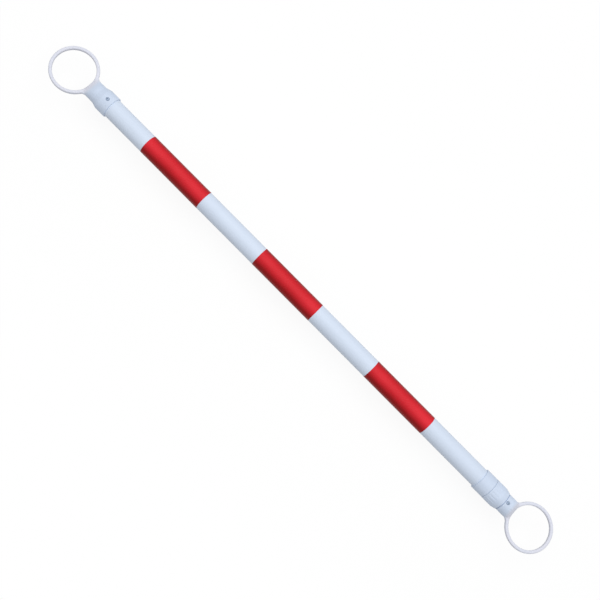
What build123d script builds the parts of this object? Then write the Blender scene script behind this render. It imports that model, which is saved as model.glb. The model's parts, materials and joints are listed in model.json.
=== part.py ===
from build123d import *
import math
import os

# A telescopic demarcation pole, pushed together and locked, in millimetres.
# X runs along the pole from the fixed ring to the sliding ring, and Z along the holes of the two rings.
# The origin is the centre of the fixed ring's hole.

# The two rings that drop over cone tips
RING_BORE = 83.0
RING_WALL = 6.5
RING_HEIGHT = 8.0
RING_ROUND = 2.4
WEB_ROUND = 12.0
WEB_INSET = 1.0
WEB_END = 1.5

# The flare of each neck, from the flat ring to the round tube
FLARE_INSET = 1.5
FLARE_RISE = 3.0
FLARE_STEPS = 4
FIXED_FLARE_LENGTH = 23.0
SLIDING_FLARE_LENGTH = 13.0

# The two tubes
OUTER_TUBE_DIAMETER = 40.0
OUTER_TUBE_WALL = 1.6
OUTER_TUBE_LENGTH = 1035.0
INNER_TUBE_WALL = 1.6
TELESCOPE_GAP = 1.4
SLIDE_TRAVEL = 800.0

# Fits: radial gaps, and the gap at the end of a tube in its seat
GLUE_GAP = 0.05
GUIDE_GAP = 0.15
END_GAP = 0.1
STOP_GAP = 0.5

# The largest rounding of an edge, as a share of the wall or step beside it
ROUND_LIMIT = 0.45

# The sockets of the ring mouldings
COLLAR_WALL = 2.45
NECK_WALL = 2.15
SPIGOT_WALL = 4.3
SPIGOT_CHAMFER = 1.0
FIXED_NECK_LENGTH = 2.0
FIXED_CONE_LENGTH = 11.0
FIXED_FLOOR = 6.0
FIXED_SOCKET_DEPTH = 28.0
FIXED_SPIGOT_LENGTH = 40.0
SLIDING_FLOOR = 1.0
SLIDING_SOCKET_DEPTH = 13.0
SLIDING_SPIGOT_LENGTH = 35.0
SHOULDER_ROUND = 4.0
MOUTH_ROUND = 0.8

# The screw in each ring moulding
SCREW_HEAD_DIAMETER = 6.5
SCREW_HEAD_HEIGHT = 1.9
SCREW_HEAD_ROUND = 1.2
SCREW_HEAD_SINK = 1.1
SCREW_HEAD_GAP = 0.35
SCREW_SHANK_DIAMETER = 2.9
SCREW_LENGTH = 9.0
SCREW_POINT_LENGTH = 2.0
SCREW_POINT_DIAMETER = 0.6
SCREW_GAP = 0.1
RECESS_SPAN = 3.6
RECESS_WIDTH = 0.9
RECESS_DEPTH = 1.1
FIXED_SCREW_SETBACK = 16.0
SLIDING_SCREW_SETBACK = 8.0

# The red reflective bands
BAND_COUNT = 3
BAND_LENGTH = 150.0
BAND_SPACING = 149.0
BAND_MARGIN = 97.0
BAND_THICKNESS = 0.35
BAND_GAP = 0.02

# The collar glued over the tube's mouth, with the threaded nose that carries the lock nut
SLEEVE_WALL = 2.3
SLEEVE_ROUND = 0.8
MOUTH_SOCKET_DEPTH = 22.0
MOUTH_FLOOR = 4.0
NOSE_WALL = 3.05
NOSE_LENGTH = 17.0
NOSE_CHAMFER = 0.6

# The collet
COLLET_GAP = 0.08
COLLET_END_GAP = 0.3
COLLET_WALL = 2.8
COLLET_LENGTH = 11.0
COLLET_TAPER = 10.0
COLLET_SPLIT = 2.0
COLLET_RELIEF_COUNT = 5
COLLET_RELIEF_WIDTH = 1.2
COLLET_RELIEF_LENGTH = 7.5

# The lock nut, which stands a step prouder than the collar beside it
NUT_STEP = 0.15
NUT_TRAVEL = 1.0
NUT_REST_GAP = 0.8
NUT_FACE_GAP = 0.4
NUT_THREAD_GAP = 0.2
NUT_CONE_GAP = 0.15
NUT_MOUTH_GAP = 0.4
NUT_LIP_LENGTH = 5.0
NUT_LIP_WALL = 2.9
NUT_TAPER_LENGTH = 9.0
NUT_TAPER_ROUND = 2.0
FLUTE_COUNT = 20
FLUTE_RADIUS = 2.2
FLUTE_DEPTH = 0.55
FLUTE_MARGIN = 3.0

# The bush on the hidden end of the inner tube, with its rubber ring and its pin
BUSH_LENGTH = 60.0
BUSH_SPIGOT_LENGTH = 35.0
BUSH_WALL = 3.35
BUSH_CHAMFER = 1.0
FRICTION_RING_SECTION = 2.6
FRICTION_RING_GAP = 0.05
GROOVE_SIDE_GAP = 0.3
PIN_DIAMETER = 4.0
PIN_END_SINK = 0.3

# Radii of the nested pieces, from the outside inwards
OUTER_RADIUS = OUTER_TUBE_DIAMETER / 2
OUTER_BORE_RADIUS = OUTER_RADIUS - OUTER_TUBE_WALL
INNER_RADIUS = OUTER_BORE_RADIUS - TELESCOPE_GAP
INNER_BORE_RADIUS = INNER_RADIUS - INNER_TUBE_WALL
COLLAR_RADIUS = OUTER_RADIUS + GLUE_GAP + COLLAR_WALL
NECK_RADIUS = INNER_RADIUS + GLUE_GAP + NECK_WALL
SLEEVE_RADIUS = OUTER_RADIUS + GLUE_GAP + SLEEVE_WALL
NUT_RADIUS = SLEEVE_RADIUS + NUT_STEP
NOSE_BORE_RADIUS = INNER_RADIUS + GUIDE_GAP
NOSE_RADIUS = NOSE_BORE_RADIUS + NOSE_WALL
NUT_BORE_RADIUS = NOSE_RADIUS + NUT_THREAD_GAP
NUT_MOUTH_RADIUS = INNER_RADIUS + NUT_MOUTH_GAP
COLLET_BORE_RADIUS = INNER_RADIUS + COLLET_GAP
COLLET_BASE_RADIUS = COLLET_BORE_RADIUS + COLLET_WALL
BUSH_RADIUS = OUTER_BORE_RADIUS - GUIDE_GAP
RING_BORE_RADIUS = RING_BORE / 2
RING_RADIUS = RING_BORE_RADIUS + RING_WALL

# Places along a ring moulding, measured from the centre of its ring
FLARE_START = RING_BORE_RADIUS + FLARE_INSET
FIXED_FLARE_END = FLARE_START + FIXED_FLARE_LENGTH
FIXED_CONE_START = FIXED_FLARE_END + FIXED_NECK_LENGTH
FIXED_SEAT = FIXED_CONE_START + FIXED_FLOOR
FIXED_MOUTH = FIXED_SEAT + FIXED_SOCKET_DEPTH
SLIDING_FLARE_END = FLARE_START + SLIDING_FLARE_LENGTH
SLIDING_SEAT = SLIDING_FLARE_END + SLIDING_FLOOR
SLIDING_MOUTH = SLIDING_SEAT + SLIDING_SOCKET_DEPTH

# Places along the whole pole
OUTER_TUBE_START = FIXED_SEAT + END_GAP
OUTER_TUBE_END = OUTER_TUBE_START + OUTER_TUBE_LENGTH
MOUTH_SEAT = OUTER_TUBE_END + END_GAP
MOUTH_FACE = MOUTH_SEAT + MOUTH_FLOOR
NOSE_END = MOUTH_FACE + NOSE_LENGTH
COLLET_START = NOSE_END + COLLET_END_GAP
COLLET_END = COLLET_START + COLLET_LENGTH
NUT_START = MOUTH_FACE + NUT_FACE_GAP
NUT_END = COLLET_END + NUT_LIP_LENGTH
SLIDING_RING_CENTRE = NUT_END + NUT_TRAVEL + NUT_REST_GAP + SLIDING_MOUTH
BUSH_FACE = MOUTH_SEAT - STOP_GAP - SLIDE_TRAVEL
INNER_TUBE_START = BUSH_FACE + END_GAP
INNER_TUBE_END = SLIDING_RING_CENTRE - SLIDING_SEAT - END_GAP
PIN_PLACE = BUSH_FACE + BUSH_SPIGOT_LENGTH / 2


def turned(*corners):
    """A solid turned about X from the corners (x, radius) or (x, radius, round) of its closed outline."""
    outline = make_face(Polyline(*[corner[:2] for corner in corners], close=True))
    for corner in corners:
        if len(corner) == 3:
            x, radius, rounding = corner
            nearest = outline.vertices().sort_by_distance((x, radius, 0))[0]
            outline = fillet(nearest, rounding)
    return revolve(outline, Axis.X)


def tube(start, end, outer_radius, inner_radius):
    """A plain tube about X."""
    return turned((start, inner_radius), (start, outer_radius), (end, outer_radius), (end, inner_radius))


def pole_section(x, half_width, half_height):
    """An ellipse square to the pole at x."""
    plane = Plane((x, 0, 0), x_dir=(0, 1, 0), z_dir=(1, 0, 0))
    return plane * Ellipse(half_width, half_height)


def ring_and_web():
    """The flat ring about Z, with the flat web that runs from it into the neck."""
    web_half_width = NECK_RADIUS - WEB_INSET
    rounding = min(RING_ROUND, ROUND_LIMIT * RING_WALL, ROUND_LIMIT * RING_HEIGHT)
    corner_x = math.sqrt(RING_RADIUS**2 - web_half_width**2)
    tangent_x = math.sqrt((RING_RADIUS + WEB_ROUND) ** 2 - (web_half_width + WEB_ROUND) ** 2)
    web_length = tangent_x + rounding + WEB_END
    outline = Circle(RING_RADIUS) + Pos(web_length / 2, 0) * Rectangle(web_length, 2 * web_half_width)
    corner_places = [(corner_x, side * web_half_width, 0) for side in (-1, 1)]
    corners = [outline.vertices().sort_by_distance(place)[0] for place in corner_places]
    outline = fillet(corners, WEB_ROUND)
    plate = extrude(outline, RING_HEIGHT / 2, both=True)
    plate -= Cylinder(RING_BORE_RADIUS, RING_HEIGHT)
    levels = plate.edges().filter_by(Plane.XY).group_by(Axis.Z)
    return fillet(levels[0] + levels[-1], rounding)


def flare(length):
    """The neck from a low ellipse to its full round, with an end that follows the ring's hole."""
    low = RING_HEIGHT / 2 + FLARE_RISE
    side_start = math.sqrt(FLARE_START**2 - NECK_RADIUS**2)
    sections = [pole_section(side_start, NECK_RADIUS, low)]
    for step in range(FLARE_STEPS + 1):
        share = step / FLARE_STEPS
        height = low + (NECK_RADIUS - low) * math.sin(share * math.pi / 2)
        sections.append(pole_section(FLARE_START + share * length, NECK_RADIUS, height))
    return loft(sections) - Cylinder(FLARE_START, 2 * NECK_RADIUS)


def upright(x, radius, bottom, top):
    """A cylinder along Z at x."""
    return Pos(x, 0, (bottom + top) / 2) * Cylinder(radius, top - bottom)


def screw_cut(x, surface_radius):
    """The pocket for a screw's head in a round surface, with the hole below it."""
    seat = surface_radius - SCREW_HEAD_SINK
    pocket = upright(x, SCREW_HEAD_DIAMETER / 2 + SCREW_HEAD_GAP, seat, surface_radius + SCREW_HEAD_HEIGHT)
    hole_radius = SCREW_SHANK_DIAMETER / 2 + SCREW_GAP
    return pocket + upright(x, hole_radius, seat - SCREW_LENGTH - SCREW_GAP, seat)


def screw(x, surface_radius):
    """A pan head screw along Z at x, seated in its pocket."""
    head_radius = SCREW_HEAD_DIAMETER / 2
    shank_radius = SCREW_SHANK_DIAMETER / 2
    body = turned(
        (SCREW_HEAD_HEIGHT, 0),
        (SCREW_HEAD_HEIGHT, head_radius, SCREW_HEAD_ROUND),
        (0, head_radius),
        (0, shank_radius),
        (SCREW_POINT_LENGTH - SCREW_LENGTH, shank_radius),
        (-SCREW_LENGTH, SCREW_POINT_DIAMETER / 2),
        (-SCREW_LENGTH, 0),
    )
    recess_place = Pos(SCREW_HEAD_HEIGHT - RECESS_DEPTH / 2, 0, 0)
    body -= recess_place * Box(RECESS_DEPTH, RECESS_SPAN, RECESS_WIDTH)
    body -= recess_place * Box(RECESS_DEPTH, RECESS_WIDTH, RECESS_SPAN)
    return Pos(x, 0, surface_radius - SCREW_HEAD_SINK) * Rot(0, -90, 0) * body


def fixed_ring_end():
    """Ring, neck and collar in one moulding, whose collar and spigot hold the outer tube's wall."""
    socket_radius = OUTER_RADIUS + GLUE_GAP
    spigot_radius = OUTER_BORE_RADIUS - GLUE_GAP
    core_radius = spigot_radius - SPIGOT_WALL
    spigot_end = FIXED_SEAT + FIXED_SPIGOT_LENGTH
    cone_end = FIXED_CONE_START + FIXED_CONE_LENGTH
    body = turned(
        (FIXED_FLARE_END, core_radius),
        (FIXED_FLARE_END, NECK_RADIUS),
        (FIXED_CONE_START, NECK_RADIUS, SHOULDER_ROUND),
        (cone_end, COLLAR_RADIUS, SHOULDER_ROUND),
        (FIXED_MOUTH, COLLAR_RADIUS, MOUTH_ROUND),
        (FIXED_MOUTH, socket_radius),
        (FIXED_SEAT, socket_radius),
        (FIXED_SEAT, spigot_radius),
        (spigot_end - SPIGOT_CHAMFER, spigot_radius),
        (spigot_end, spigot_radius - SPIGOT_CHAMFER),
        (spigot_end, core_radius),
    )
    moulding = ring_and_web() + flare(FIXED_FLARE_LENGTH) + body
    return moulding - screw_cut(FIXED_SEAT + FIXED_SCREW_SETBACK, COLLAR_RADIUS)


def on_sliding_ring(piece):
    """A piece of the sliding ring's end, turned to face the other ring and moved to its place."""
    return Pos(SLIDING_RING_CENTRE, 0, 0) * Rot(0, 0, 180) * piece


def sliding_ring_end():
    """Ring and neck in one moulding, whose neck and spigot hold the inner tube's wall."""
    socket_radius = INNER_RADIUS + GLUE_GAP
    spigot_radius = INNER_BORE_RADIUS - GLUE_GAP
    core_radius = spigot_radius - SPIGOT_WALL
    spigot_end = SLIDING_SEAT + SLIDING_SPIGOT_LENGTH
    body = turned(
        (SLIDING_FLARE_END, core_radius),
        (SLIDING_FLARE_END, NECK_RADIUS),
        (SLIDING_MOUTH, NECK_RADIUS, MOUTH_ROUND),
        (SLIDING_MOUTH, socket_radius),
        (SLIDING_SEAT, socket_radius),
        (SLIDING_SEAT, spigot_radius),
        (spigot_end - SPIGOT_CHAMFER, spigot_radius),
        (spigot_end, spigot_radius - SPIGOT_CHAMFER),
        (spigot_end, core_radius),
    )
    moulding = ring_and_web() + flare(SLIDING_FLARE_LENGTH) + body
    moulding -= screw_cut(SLIDING_SEAT + SLIDING_SCREW_SETBACK, NECK_RADIUS)
    return on_sliding_ring(moulding)


def fixed_ring_screw():
    """The screw through the fixed collar into the outer tube and the spigot."""
    return screw(FIXED_SEAT + FIXED_SCREW_SETBACK, COLLAR_RADIUS)


def sliding_ring_screw():
    """The screw through the sliding ring's neck into the inner tube and the spigot."""
    return on_sliding_ring(screw(SLIDING_SEAT + SLIDING_SCREW_SETBACK, NECK_RADIUS))


def outer_tube():
    """The white tube, drilled for the fixed ring's screw."""
    pipe = tube(OUTER_TUBE_START, OUTER_TUBE_END, OUTER_RADIUS, OUTER_BORE_RADIUS)
    return pipe - screw_cut(FIXED_SEAT + FIXED_SCREW_SETBACK, COLLAR_RADIUS)


def inner_tube():
    """The tube that slides, drilled for the sliding ring's screw and the bush's pin."""
    pipe = tube(INNER_TUBE_START, INNER_TUBE_END, INNER_RADIUS, INNER_BORE_RADIUS)
    pipe -= on_sliding_ring(screw_cut(SLIDING_SEAT + SLIDING_SCREW_SETBACK, NECK_RADIUS))
    return pipe - upright(PIN_PLACE, PIN_DIAMETER / 2 + GLUE_GAP, -INNER_RADIUS, INNER_RADIUS)


def red_band(index):
    """One wrap of reflective sheeting. The first band is a margin away from the fixed collar."""
    start = FIXED_MOUTH + BAND_MARGIN + index * (BAND_LENGTH + BAND_SPACING)
    inside = OUTER_RADIUS + BAND_GAP
    return tube(start, start + BAND_LENGTH, inside + BAND_THICKNESS, inside)


def mouth_collar():
    """The collar over the tube's mouth. Its seat is the stop for the bush, and its nose carries the nut."""
    socket_radius = OUTER_RADIUS + GLUE_GAP
    start = OUTER_TUBE_END - MOUTH_SOCKET_DEPTH
    return turned(
        (start, socket_radius),
        (start, SLEEVE_RADIUS, SLEEVE_ROUND),
        (MOUTH_FACE, SLEEVE_RADIUS, SLEEVE_ROUND),
        (MOUTH_FACE, NOSE_RADIUS),
        (NOSE_END - NOSE_CHAMFER, NOSE_RADIUS),
        (NOSE_END, NOSE_RADIUS - NOSE_CHAMFER),
        (NOSE_END, NOSE_BORE_RADIUS),
        (MOUTH_SEAT, NOSE_BORE_RADIUS),
        (MOUTH_SEAT, socket_radius),
    )


def cone_radius(x):
    """Radius of the collet's cone at x."""
    return COLLET_BASE_RADIUS - (x - COLLET_START) * math.tan(math.radians(COLLET_TAPER))


def clamp_collet():
    """The split cone that closes on the inner tube."""
    collet = turned(
        (COLLET_START, COLLET_BORE_RADIUS),
        (COLLET_START, COLLET_BASE_RADIUS),
        (COLLET_END, cone_radius(COLLET_END)),
        (COLLET_END, COLLET_BORE_RADIUS),
    )
    reach = COLLET_BASE_RADIUS
    split = Pos(COLLET_START + COLLET_LENGTH / 2, 0, reach / 2) * Box(COLLET_LENGTH, COLLET_SPLIT, reach)
    relief_place = Pos(COLLET_END - COLLET_RELIEF_LENGTH / 2, 0, reach / 2)
    relief = relief_place * Box(COLLET_RELIEF_LENGTH, COLLET_RELIEF_WIDTH, reach)
    collet -= split
    for index in range(1, COLLET_RELIEF_COUNT + 1):
        collet -= Rot(index * 360 / (COLLET_RELIEF_COUNT + 1), 0, 0) * relief
    return collet


def flute():
    """One finger groove of the nut, at the top, with round ends."""
    taper_start = NUT_END - NUT_TAPER_LENGTH
    start = NUT_START + FLUTE_MARGIN + FLUTE_RADIUS
    end = taper_start - FLUTE_MARGIN - FLUTE_RADIUS
    height = NUT_RADIUS - FLUTE_DEPTH + FLUTE_RADIUS
    rod = Pos((start + end) / 2, 0, height) * Rot(0, 90, 0) * Cylinder(FLUTE_RADIUS, end - start)
    return rod + [Pos(x, 0, height) * Sphere(FLUTE_RADIUS) for x in (start, end)]


def lock_nut():
    """The nut on the nose, whose cone presses the collet inwards."""
    cone_end = COLLET_END + COLLET_END_GAP
    nut = turned(
        (NUT_START, NUT_BORE_RADIUS),
        (NUT_START, NUT_RADIUS, SLEEVE_ROUND),
        (NUT_END - NUT_TAPER_LENGTH, NUT_RADIUS, NUT_TAPER_ROUND),
        (NUT_END, NUT_MOUTH_RADIUS + NUT_LIP_WALL, SLEEVE_ROUND),
        (NUT_END, NUT_MOUTH_RADIUS),
        (cone_end, NUT_MOUTH_RADIUS),
        (cone_end, cone_radius(cone_end) + NUT_CONE_GAP),
        (COLLET_START, COLLET_BASE_RADIUS + NUT_CONE_GAP),
        (COLLET_START, NUT_BORE_RADIUS),
    )
    for index in range(FLUTE_COUNT):
        nut -= Rot(index * 360 / FLUTE_COUNT, 0, 0) * flute()
    return nut


def guide_bush():
    """The plug of the inner tube's hidden end, with the rubber ring's groove and a shoulder as a stop."""
    spigot_radius = INNER_BORE_RADIUS - GLUE_GAP
    core_radius = spigot_radius - BUSH_WALL
    start = BUSH_FACE - BUSH_LENGTH
    spigot_end = BUSH_FACE + BUSH_SPIGOT_LENGTH
    middle = BUSH_FACE - BUSH_LENGTH / 2
    half_groove = FRICTION_RING_SECTION / 2 + GROOVE_SIDE_GAP
    groove_radius = OUTER_BORE_RADIUS - FRICTION_RING_SECTION - 2 * FRICTION_RING_GAP
    bush = turned(
        (start, core_radius),
        (start, BUSH_RADIUS - BUSH_CHAMFER),
        (start + BUSH_CHAMFER, BUSH_RADIUS),
        (middle - half_groove, BUSH_RADIUS),
        (middle - half_groove, groove_radius),
        (middle + half_groove, groove_radius),
        (middle + half_groove, BUSH_RADIUS),
        (BUSH_FACE, BUSH_RADIUS),
        (BUSH_FACE, spigot_radius),
        (spigot_end - SPIGOT_CHAMFER, spigot_radius),
        (spigot_end, spigot_radius - SPIGOT_CHAMFER),
        (spigot_end, core_radius),
    )
    return bush - upright(PIN_PLACE, PIN_DIAMETER / 2 + GLUE_GAP, -INNER_RADIUS, INNER_RADIUS)


def friction_ring():
    """The rubber ring in the bush's groove."""
    section_radius = FRICTION_RING_SECTION / 2
    middle_radius = OUTER_BORE_RADIUS - FRICTION_RING_GAP - section_radius
    return Pos(BUSH_FACE - BUSH_LENGTH / 2, 0, 0) * Rot(0, 90, 0) * Torus(middle_radius, section_radius)


def bush_pin():
    """The cross pin through the inner tube and the bush."""
    end = INNER_RADIUS - PIN_END_SINK
    return upright(PIN_PLACE, PIN_DIAMETER / 2, -end, end)


def pieces():
    """Every piece of the pole, by name."""
    named = {
        "outer_tube": outer_tube(),
        "fixed_ring_end": fixed_ring_end(),
        "fixed_ring_screw": fixed_ring_screw(),
        "mouth_collar": mouth_collar(),
        "clamp_collet": clamp_collet(),
        "lock_nut": lock_nut(),
        "inner_tube": inner_tube(),
        "guide_bush": guide_bush(),
        "bush_pin": bush_pin(),
        "friction_ring": friction_ring(),
        "sliding_ring_end": sliding_ring_end(),
        "sliding_ring_screw": sliding_ring_screw(),
    }
    for index in range(BAND_COUNT):
        named[f"red_band_{index + 1}"] = red_band(index)
    return named


os.makedirs("parts", exist_ok=True)
for name, piece in pieces().items():
    export_step(piece, f"parts/{name}.step")
print("pushed together", SLIDING_RING_CENTRE + 2 * RING_RADIUS)
print("drawn out", SLIDING_RING_CENTRE + 2 * RING_RADIUS + SLIDE_TRAVEL)
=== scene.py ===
"""Looks of a telescopic demarcation pole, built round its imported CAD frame.

X runs along the pole from the fixed ring to the sliding ring and Z along the rings' holes.
Sizes are in millimetres and become metres where a mesh is made. The sizes of finishes are in metres.
"""

import json
import logging
import math
from dataclasses import dataclass, field, replace
from enum import Enum
from functools import cache
from typing import Any, Iterable, Mapping, Protocol, Sequence

import bmesh
import bpy
import numpy as np
from mathutils import Matrix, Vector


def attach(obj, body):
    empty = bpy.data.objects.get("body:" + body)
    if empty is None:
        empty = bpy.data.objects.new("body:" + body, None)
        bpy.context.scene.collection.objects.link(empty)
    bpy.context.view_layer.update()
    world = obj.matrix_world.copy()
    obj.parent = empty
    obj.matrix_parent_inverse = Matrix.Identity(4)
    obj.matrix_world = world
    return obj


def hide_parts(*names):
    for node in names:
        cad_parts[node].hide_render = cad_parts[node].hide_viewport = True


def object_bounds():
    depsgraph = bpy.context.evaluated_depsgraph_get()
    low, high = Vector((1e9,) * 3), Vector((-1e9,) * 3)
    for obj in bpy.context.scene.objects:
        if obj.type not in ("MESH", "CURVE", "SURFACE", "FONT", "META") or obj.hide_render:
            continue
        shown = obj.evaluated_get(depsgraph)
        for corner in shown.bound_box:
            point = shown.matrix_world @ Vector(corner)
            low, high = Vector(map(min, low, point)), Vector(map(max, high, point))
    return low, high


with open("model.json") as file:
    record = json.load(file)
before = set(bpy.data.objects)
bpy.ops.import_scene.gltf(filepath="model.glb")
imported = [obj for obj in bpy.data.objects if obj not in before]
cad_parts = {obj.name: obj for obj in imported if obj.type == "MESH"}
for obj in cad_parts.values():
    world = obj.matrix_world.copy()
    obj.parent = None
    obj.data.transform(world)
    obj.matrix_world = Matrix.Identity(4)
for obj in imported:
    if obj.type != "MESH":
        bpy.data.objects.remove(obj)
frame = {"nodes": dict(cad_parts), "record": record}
cad_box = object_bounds()

log = logging.getLogger("demarcation_pole")

# A colour, a number for each axis, a pair of ends, a corner of an outline, and what a node is given
Colour = tuple[float, float, float, float]
Triple = tuple[float, float, float]
Span = tuple[float, float]
Corner = tuple[float, ...]
Settings = Mapping[str, Any]
Sockets = Mapping[Any, Any]

# A millimetre in metres, and plain white
MM = 0.001
WHITE: Colour = (1.0, 1.0, 1.0, 1.0)

# How close, in metres, the points lie that a weld joins, and the angle past which an edge is shaded sharp
WELD = 2e-6
CREASE = math.radians(34)

# Columns in a quarter turn, and steps in a rounded edge and in the lip of a screw's pocket
QUARTER_STEPS = 48
ROUND_STEPS = 6
LIP_STEPS = 3

# How far inside its ends a straight run has extra points, and the longest step between its points
SUPPORT = 0.35
STRETCH = 30.0

# Steps from the middle to the edge of the window round a hole, and how far in from that edge its rows lie
WINDOW = 7
WINDOW_ROWS = (0.0, 0.35, 0.65, 0.85, 0.95, 1.0)

# Half the length of the window in a tube, and the gap round the bush's pin
TUBE_WINDOW = 4.2
PIN_GAP = 0.05

# Slack in picking a CAD mesh's points, a distance that tells one wall from the next, and next to nothing
NEAR = 0.01
CLEAR = 0.5
TINY = 1e-6


# Choices
class Body(Enum):
    """The CAD bodies that the pieces ride on."""

    OUTER_POLE = "outer_pole"
    LOCK_NUT = "lock_nut"
    INNER_POLE = "inner_pole"


class Slot(Enum):
    """The record's material slots."""

    WHITE_TUBE = "white_tube"
    WHITE_MOULDING = "white_moulding"
    RED_SHEETING = "red_sheeting"
    NATURAL_PLASTIC = "natural_plastic"
    BLACK_RUBBER = "black_rubber"
    STEEL = "steel"


class Facing(Enum):
    """Which way a ring moulding's neck points along X."""

    FORWARD = 1
    BACKWARD = -1


# Shader maths
class Reading:
    """A number that a shader socket gives, written in sums like a plain number."""

    def __init__(self, board: "Board", socket: bpy.types.NodeSocket) -> None:
        """Keeps the socket and the board that its node is on."""
        self.board = board
        self.socket = socket

    def _sum(self, operation: str, left: Any, right: Any) -> "Reading":
        """The result of one Math node, from two numbers or readings."""
        return self.board.read("ShaderNodeMath", 0, {"operation": operation}, {0: left, 1: right})

    def __add__(self, other: Any) -> "Reading":
        """This number plus another."""
        return self._sum("ADD", self, other)

    def __radd__(self, other: Any) -> "Reading":
        """Another number plus this one."""
        return self._sum("ADD", other, self)

    def __sub__(self, other: Any) -> "Reading":
        """This number less another."""
        return self._sum("SUBTRACT", self, other)

    def __rsub__(self, other: Any) -> "Reading":
        """Another number less this one."""
        return self._sum("SUBTRACT", other, self)

    def __mul__(self, other: Any) -> "Reading":
        """This number times another."""
        return self._sum("MULTIPLY", self, other)

    def __rmul__(self, other: Any) -> "Reading":
        """Another number times this one."""
        return self._sum("MULTIPLY", other, self)

    def __truediv__(self, other: Any) -> "Reading":
        """This number over another."""
        return self._sum("DIVIDE", self, other)

    def __mod__(self, other: float) -> "Reading":
        """What is left of this number after whole steps of another, never negative."""
        return self._sum("FLOORED_MODULO", self, other)

    def __abs__(self) -> "Reading":
        """This number without its sign."""
        return self._sum("ABSOLUTE", self, 0.0)

    def least(self, other: Any) -> "Reading":
        """The smaller of this number and another."""
        return self._sum("MINIMUM", self, other)

    def most(self, other: Any) -> "Reading":
        """The larger of this number and another."""
        return self._sum("MAXIMUM", self, other)

    def turn(self, other: Any) -> "Reading":
        """The angle whose sine side is this number and whose cosine side is another."""
        return self._sum("ARCTAN2", self, other)

    def swing(self) -> "Reading":
        """How far noise between 0 and 1 is over or under its middle."""
        return self - 0.5

    def step(self, low: float, high: float) -> "Reading":
        """A smooth step from 0 at low to 1 at high."""
        settings = {"interpolation_type": "SMOOTHSTEP"}
        return self.board.read("ShaderNodeMapRange", 0, settings, {0: self, 1: low, 2: high})


@dataclass(frozen=True)
class Noise:
    """One layer of noise on a surface, and what it does there.

    Attributes:
        scale: Patches to the metre, as one number or as one for each axis.
        detail: How many finer layers it has.
        rough: How strong the finer layers are.
        edges: The levels at which its marks start to show and show in full.
        tint: How much it changes the colour.
        rougher: How much it changes the roughness.
        raised: How much it raises the surface.
    """

    scale: float | Triple
    detail: float
    rough: float = 0.5
    edges: Span = (0.0, 1.0)
    tint: float = 1.0
    rougher: float = 0.0
    raised: float = 1.0


class Board:
    """The node tree of one material, or of the room, while it is laid out."""

    def __init__(self, owner: bpy.types.Material | bpy.types.World) -> None:
        """Clears the owner's nodes.

        Args:
            owner: The material or the room's world.
        """
        owner.use_nodes = True
        self.tree = owner.node_tree
        self.tree.nodes.clear()

    def node(self, kind: str, settings: Settings, sockets: Sockets) -> bpy.types.Node:
        """Adds one node.

        Args:
            kind: The node's type.
            settings: The node's own properties, which are set first.
            sockets: What goes into each input, by name or place: a value, or a reading to link.

        Returns:
            The node.
        """
        made = self.tree.nodes.new(kind)
        for key, value in settings.items():
            setattr(made, key, value)
        for key, value in sockets.items():
            if isinstance(value, Reading):
                self.tree.links.new(value.socket, made.inputs[key])
            else:
                made.inputs[key].default_value = value
        return made

    def read(self, kind: str, output: Any, settings: Settings, sockets: Sockets) -> Reading:
        """Adds one node and gives one of its outputs, by name or place."""
        return Reading(self, self.node(kind, settings, sockets).outputs[output])

    def place(self) -> Reading:
        """The point of the surface, in metres, in the frame that all the pieces share."""
        return self.read("ShaderNodeTexCoord", "Object", {}, {})

    def part(self, vector: Reading, axis: str) -> Reading:
        """One of a vector's three numbers, named X, Y or Z."""
        return self.read("ShaderNodeSeparateXYZ", axis, {}, {0: vector})

    def stretched(self, vector: Reading, scale: Triple) -> Reading:
        """A vector times a scale along each axis."""
        return self.read("ShaderNodeVectorMath", 0, {"operation": "MULTIPLY"}, {0: vector, 1: scale})

    def distance(self, vector: Reading, point: Triple) -> Reading:
        """How far a vector's point is from another point."""
        return self.read("ShaderNodeVectorMath", 1, {"operation": "DISTANCE"}, {0: vector, 1: point})

    def noise(self, vector: Reading, layer: Noise) -> Reading:
        """A layer of noise, between 0 and 1.

        Args:
            vector: The point of the surface.
            layer: The layer.

        Returns:
            The noise at that point.
        """
        scale = layer.scale
        if isinstance(scale, tuple):
            vector, scale = self.stretched(vector, scale), 1.0
        sockets = {"Vector": vector, "Scale": scale, "Detail": layer.detail, "Roughness": layer.rough}
        return self.read("ShaderNodeTexNoise", "Fac", {}, sockets)

    def marks(self, vector: Reading, layer: Noise) -> Reading:
        """The marks that a layer of noise leaves, from 0 between them to 1 in their middles."""
        return self.noise(vector, layer).step(*layer.edges)

    def mix(self, share: Any, first: Any, second: Any) -> Reading:
        """A colour between two colours."""
        return self.read("ShaderNodeMix", 2, {"data_type": "RGBA"}, {0: share, 6: first, 7: second})

    def bump(self, height: Reading, depth: float) -> Reading:
        """A normal that shows a height between 0 and 1 as relief of a depth in metres."""
        return self.read("ShaderNodeBump", 0, {}, {"Strength": 1.0, "Distance": depth, "Height": height})


# Finishes
@dataclass(frozen=True)
class Finish:
    """What a surface is made of. Each kind says what feeds the shader.

    Attributes:
        name: The material's name.
        slot: The record's slot. Not used.
        colour: The surface's usual colour.
        shade: The colour where the surface is darker.
        roughness: The usual roughness.
        specular: The level of its reflections.
        relief: The height of its fine relief.
    """

    name: str
    slot: Slot
    colour: Colour
    shade: Colour
    roughness: float
    specular: float = 0.5
    relief: float = 0.00004

    def inputs(self, board: Board) -> dict[str, Any]:
        """What goes into the shader's sockets."""
        raise NotImplementedError

    @cache
    def material(self) -> bpy.types.Material:
        """Lays out the material, once for all the pieces that share it.

        Returns:
            The finished material.
        """
        made = bpy.data.materials.new(self.name)
        board = Board(made)
        sockets = {"Specular IOR Level": self.specular, **self.inputs(board)}
        shader = board.read("ShaderNodeBsdfPrincipled", 0, {}, sockets)
        board.node("ShaderNodeOutputMaterial", {}, {"Surface": shader})
        return made


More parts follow.
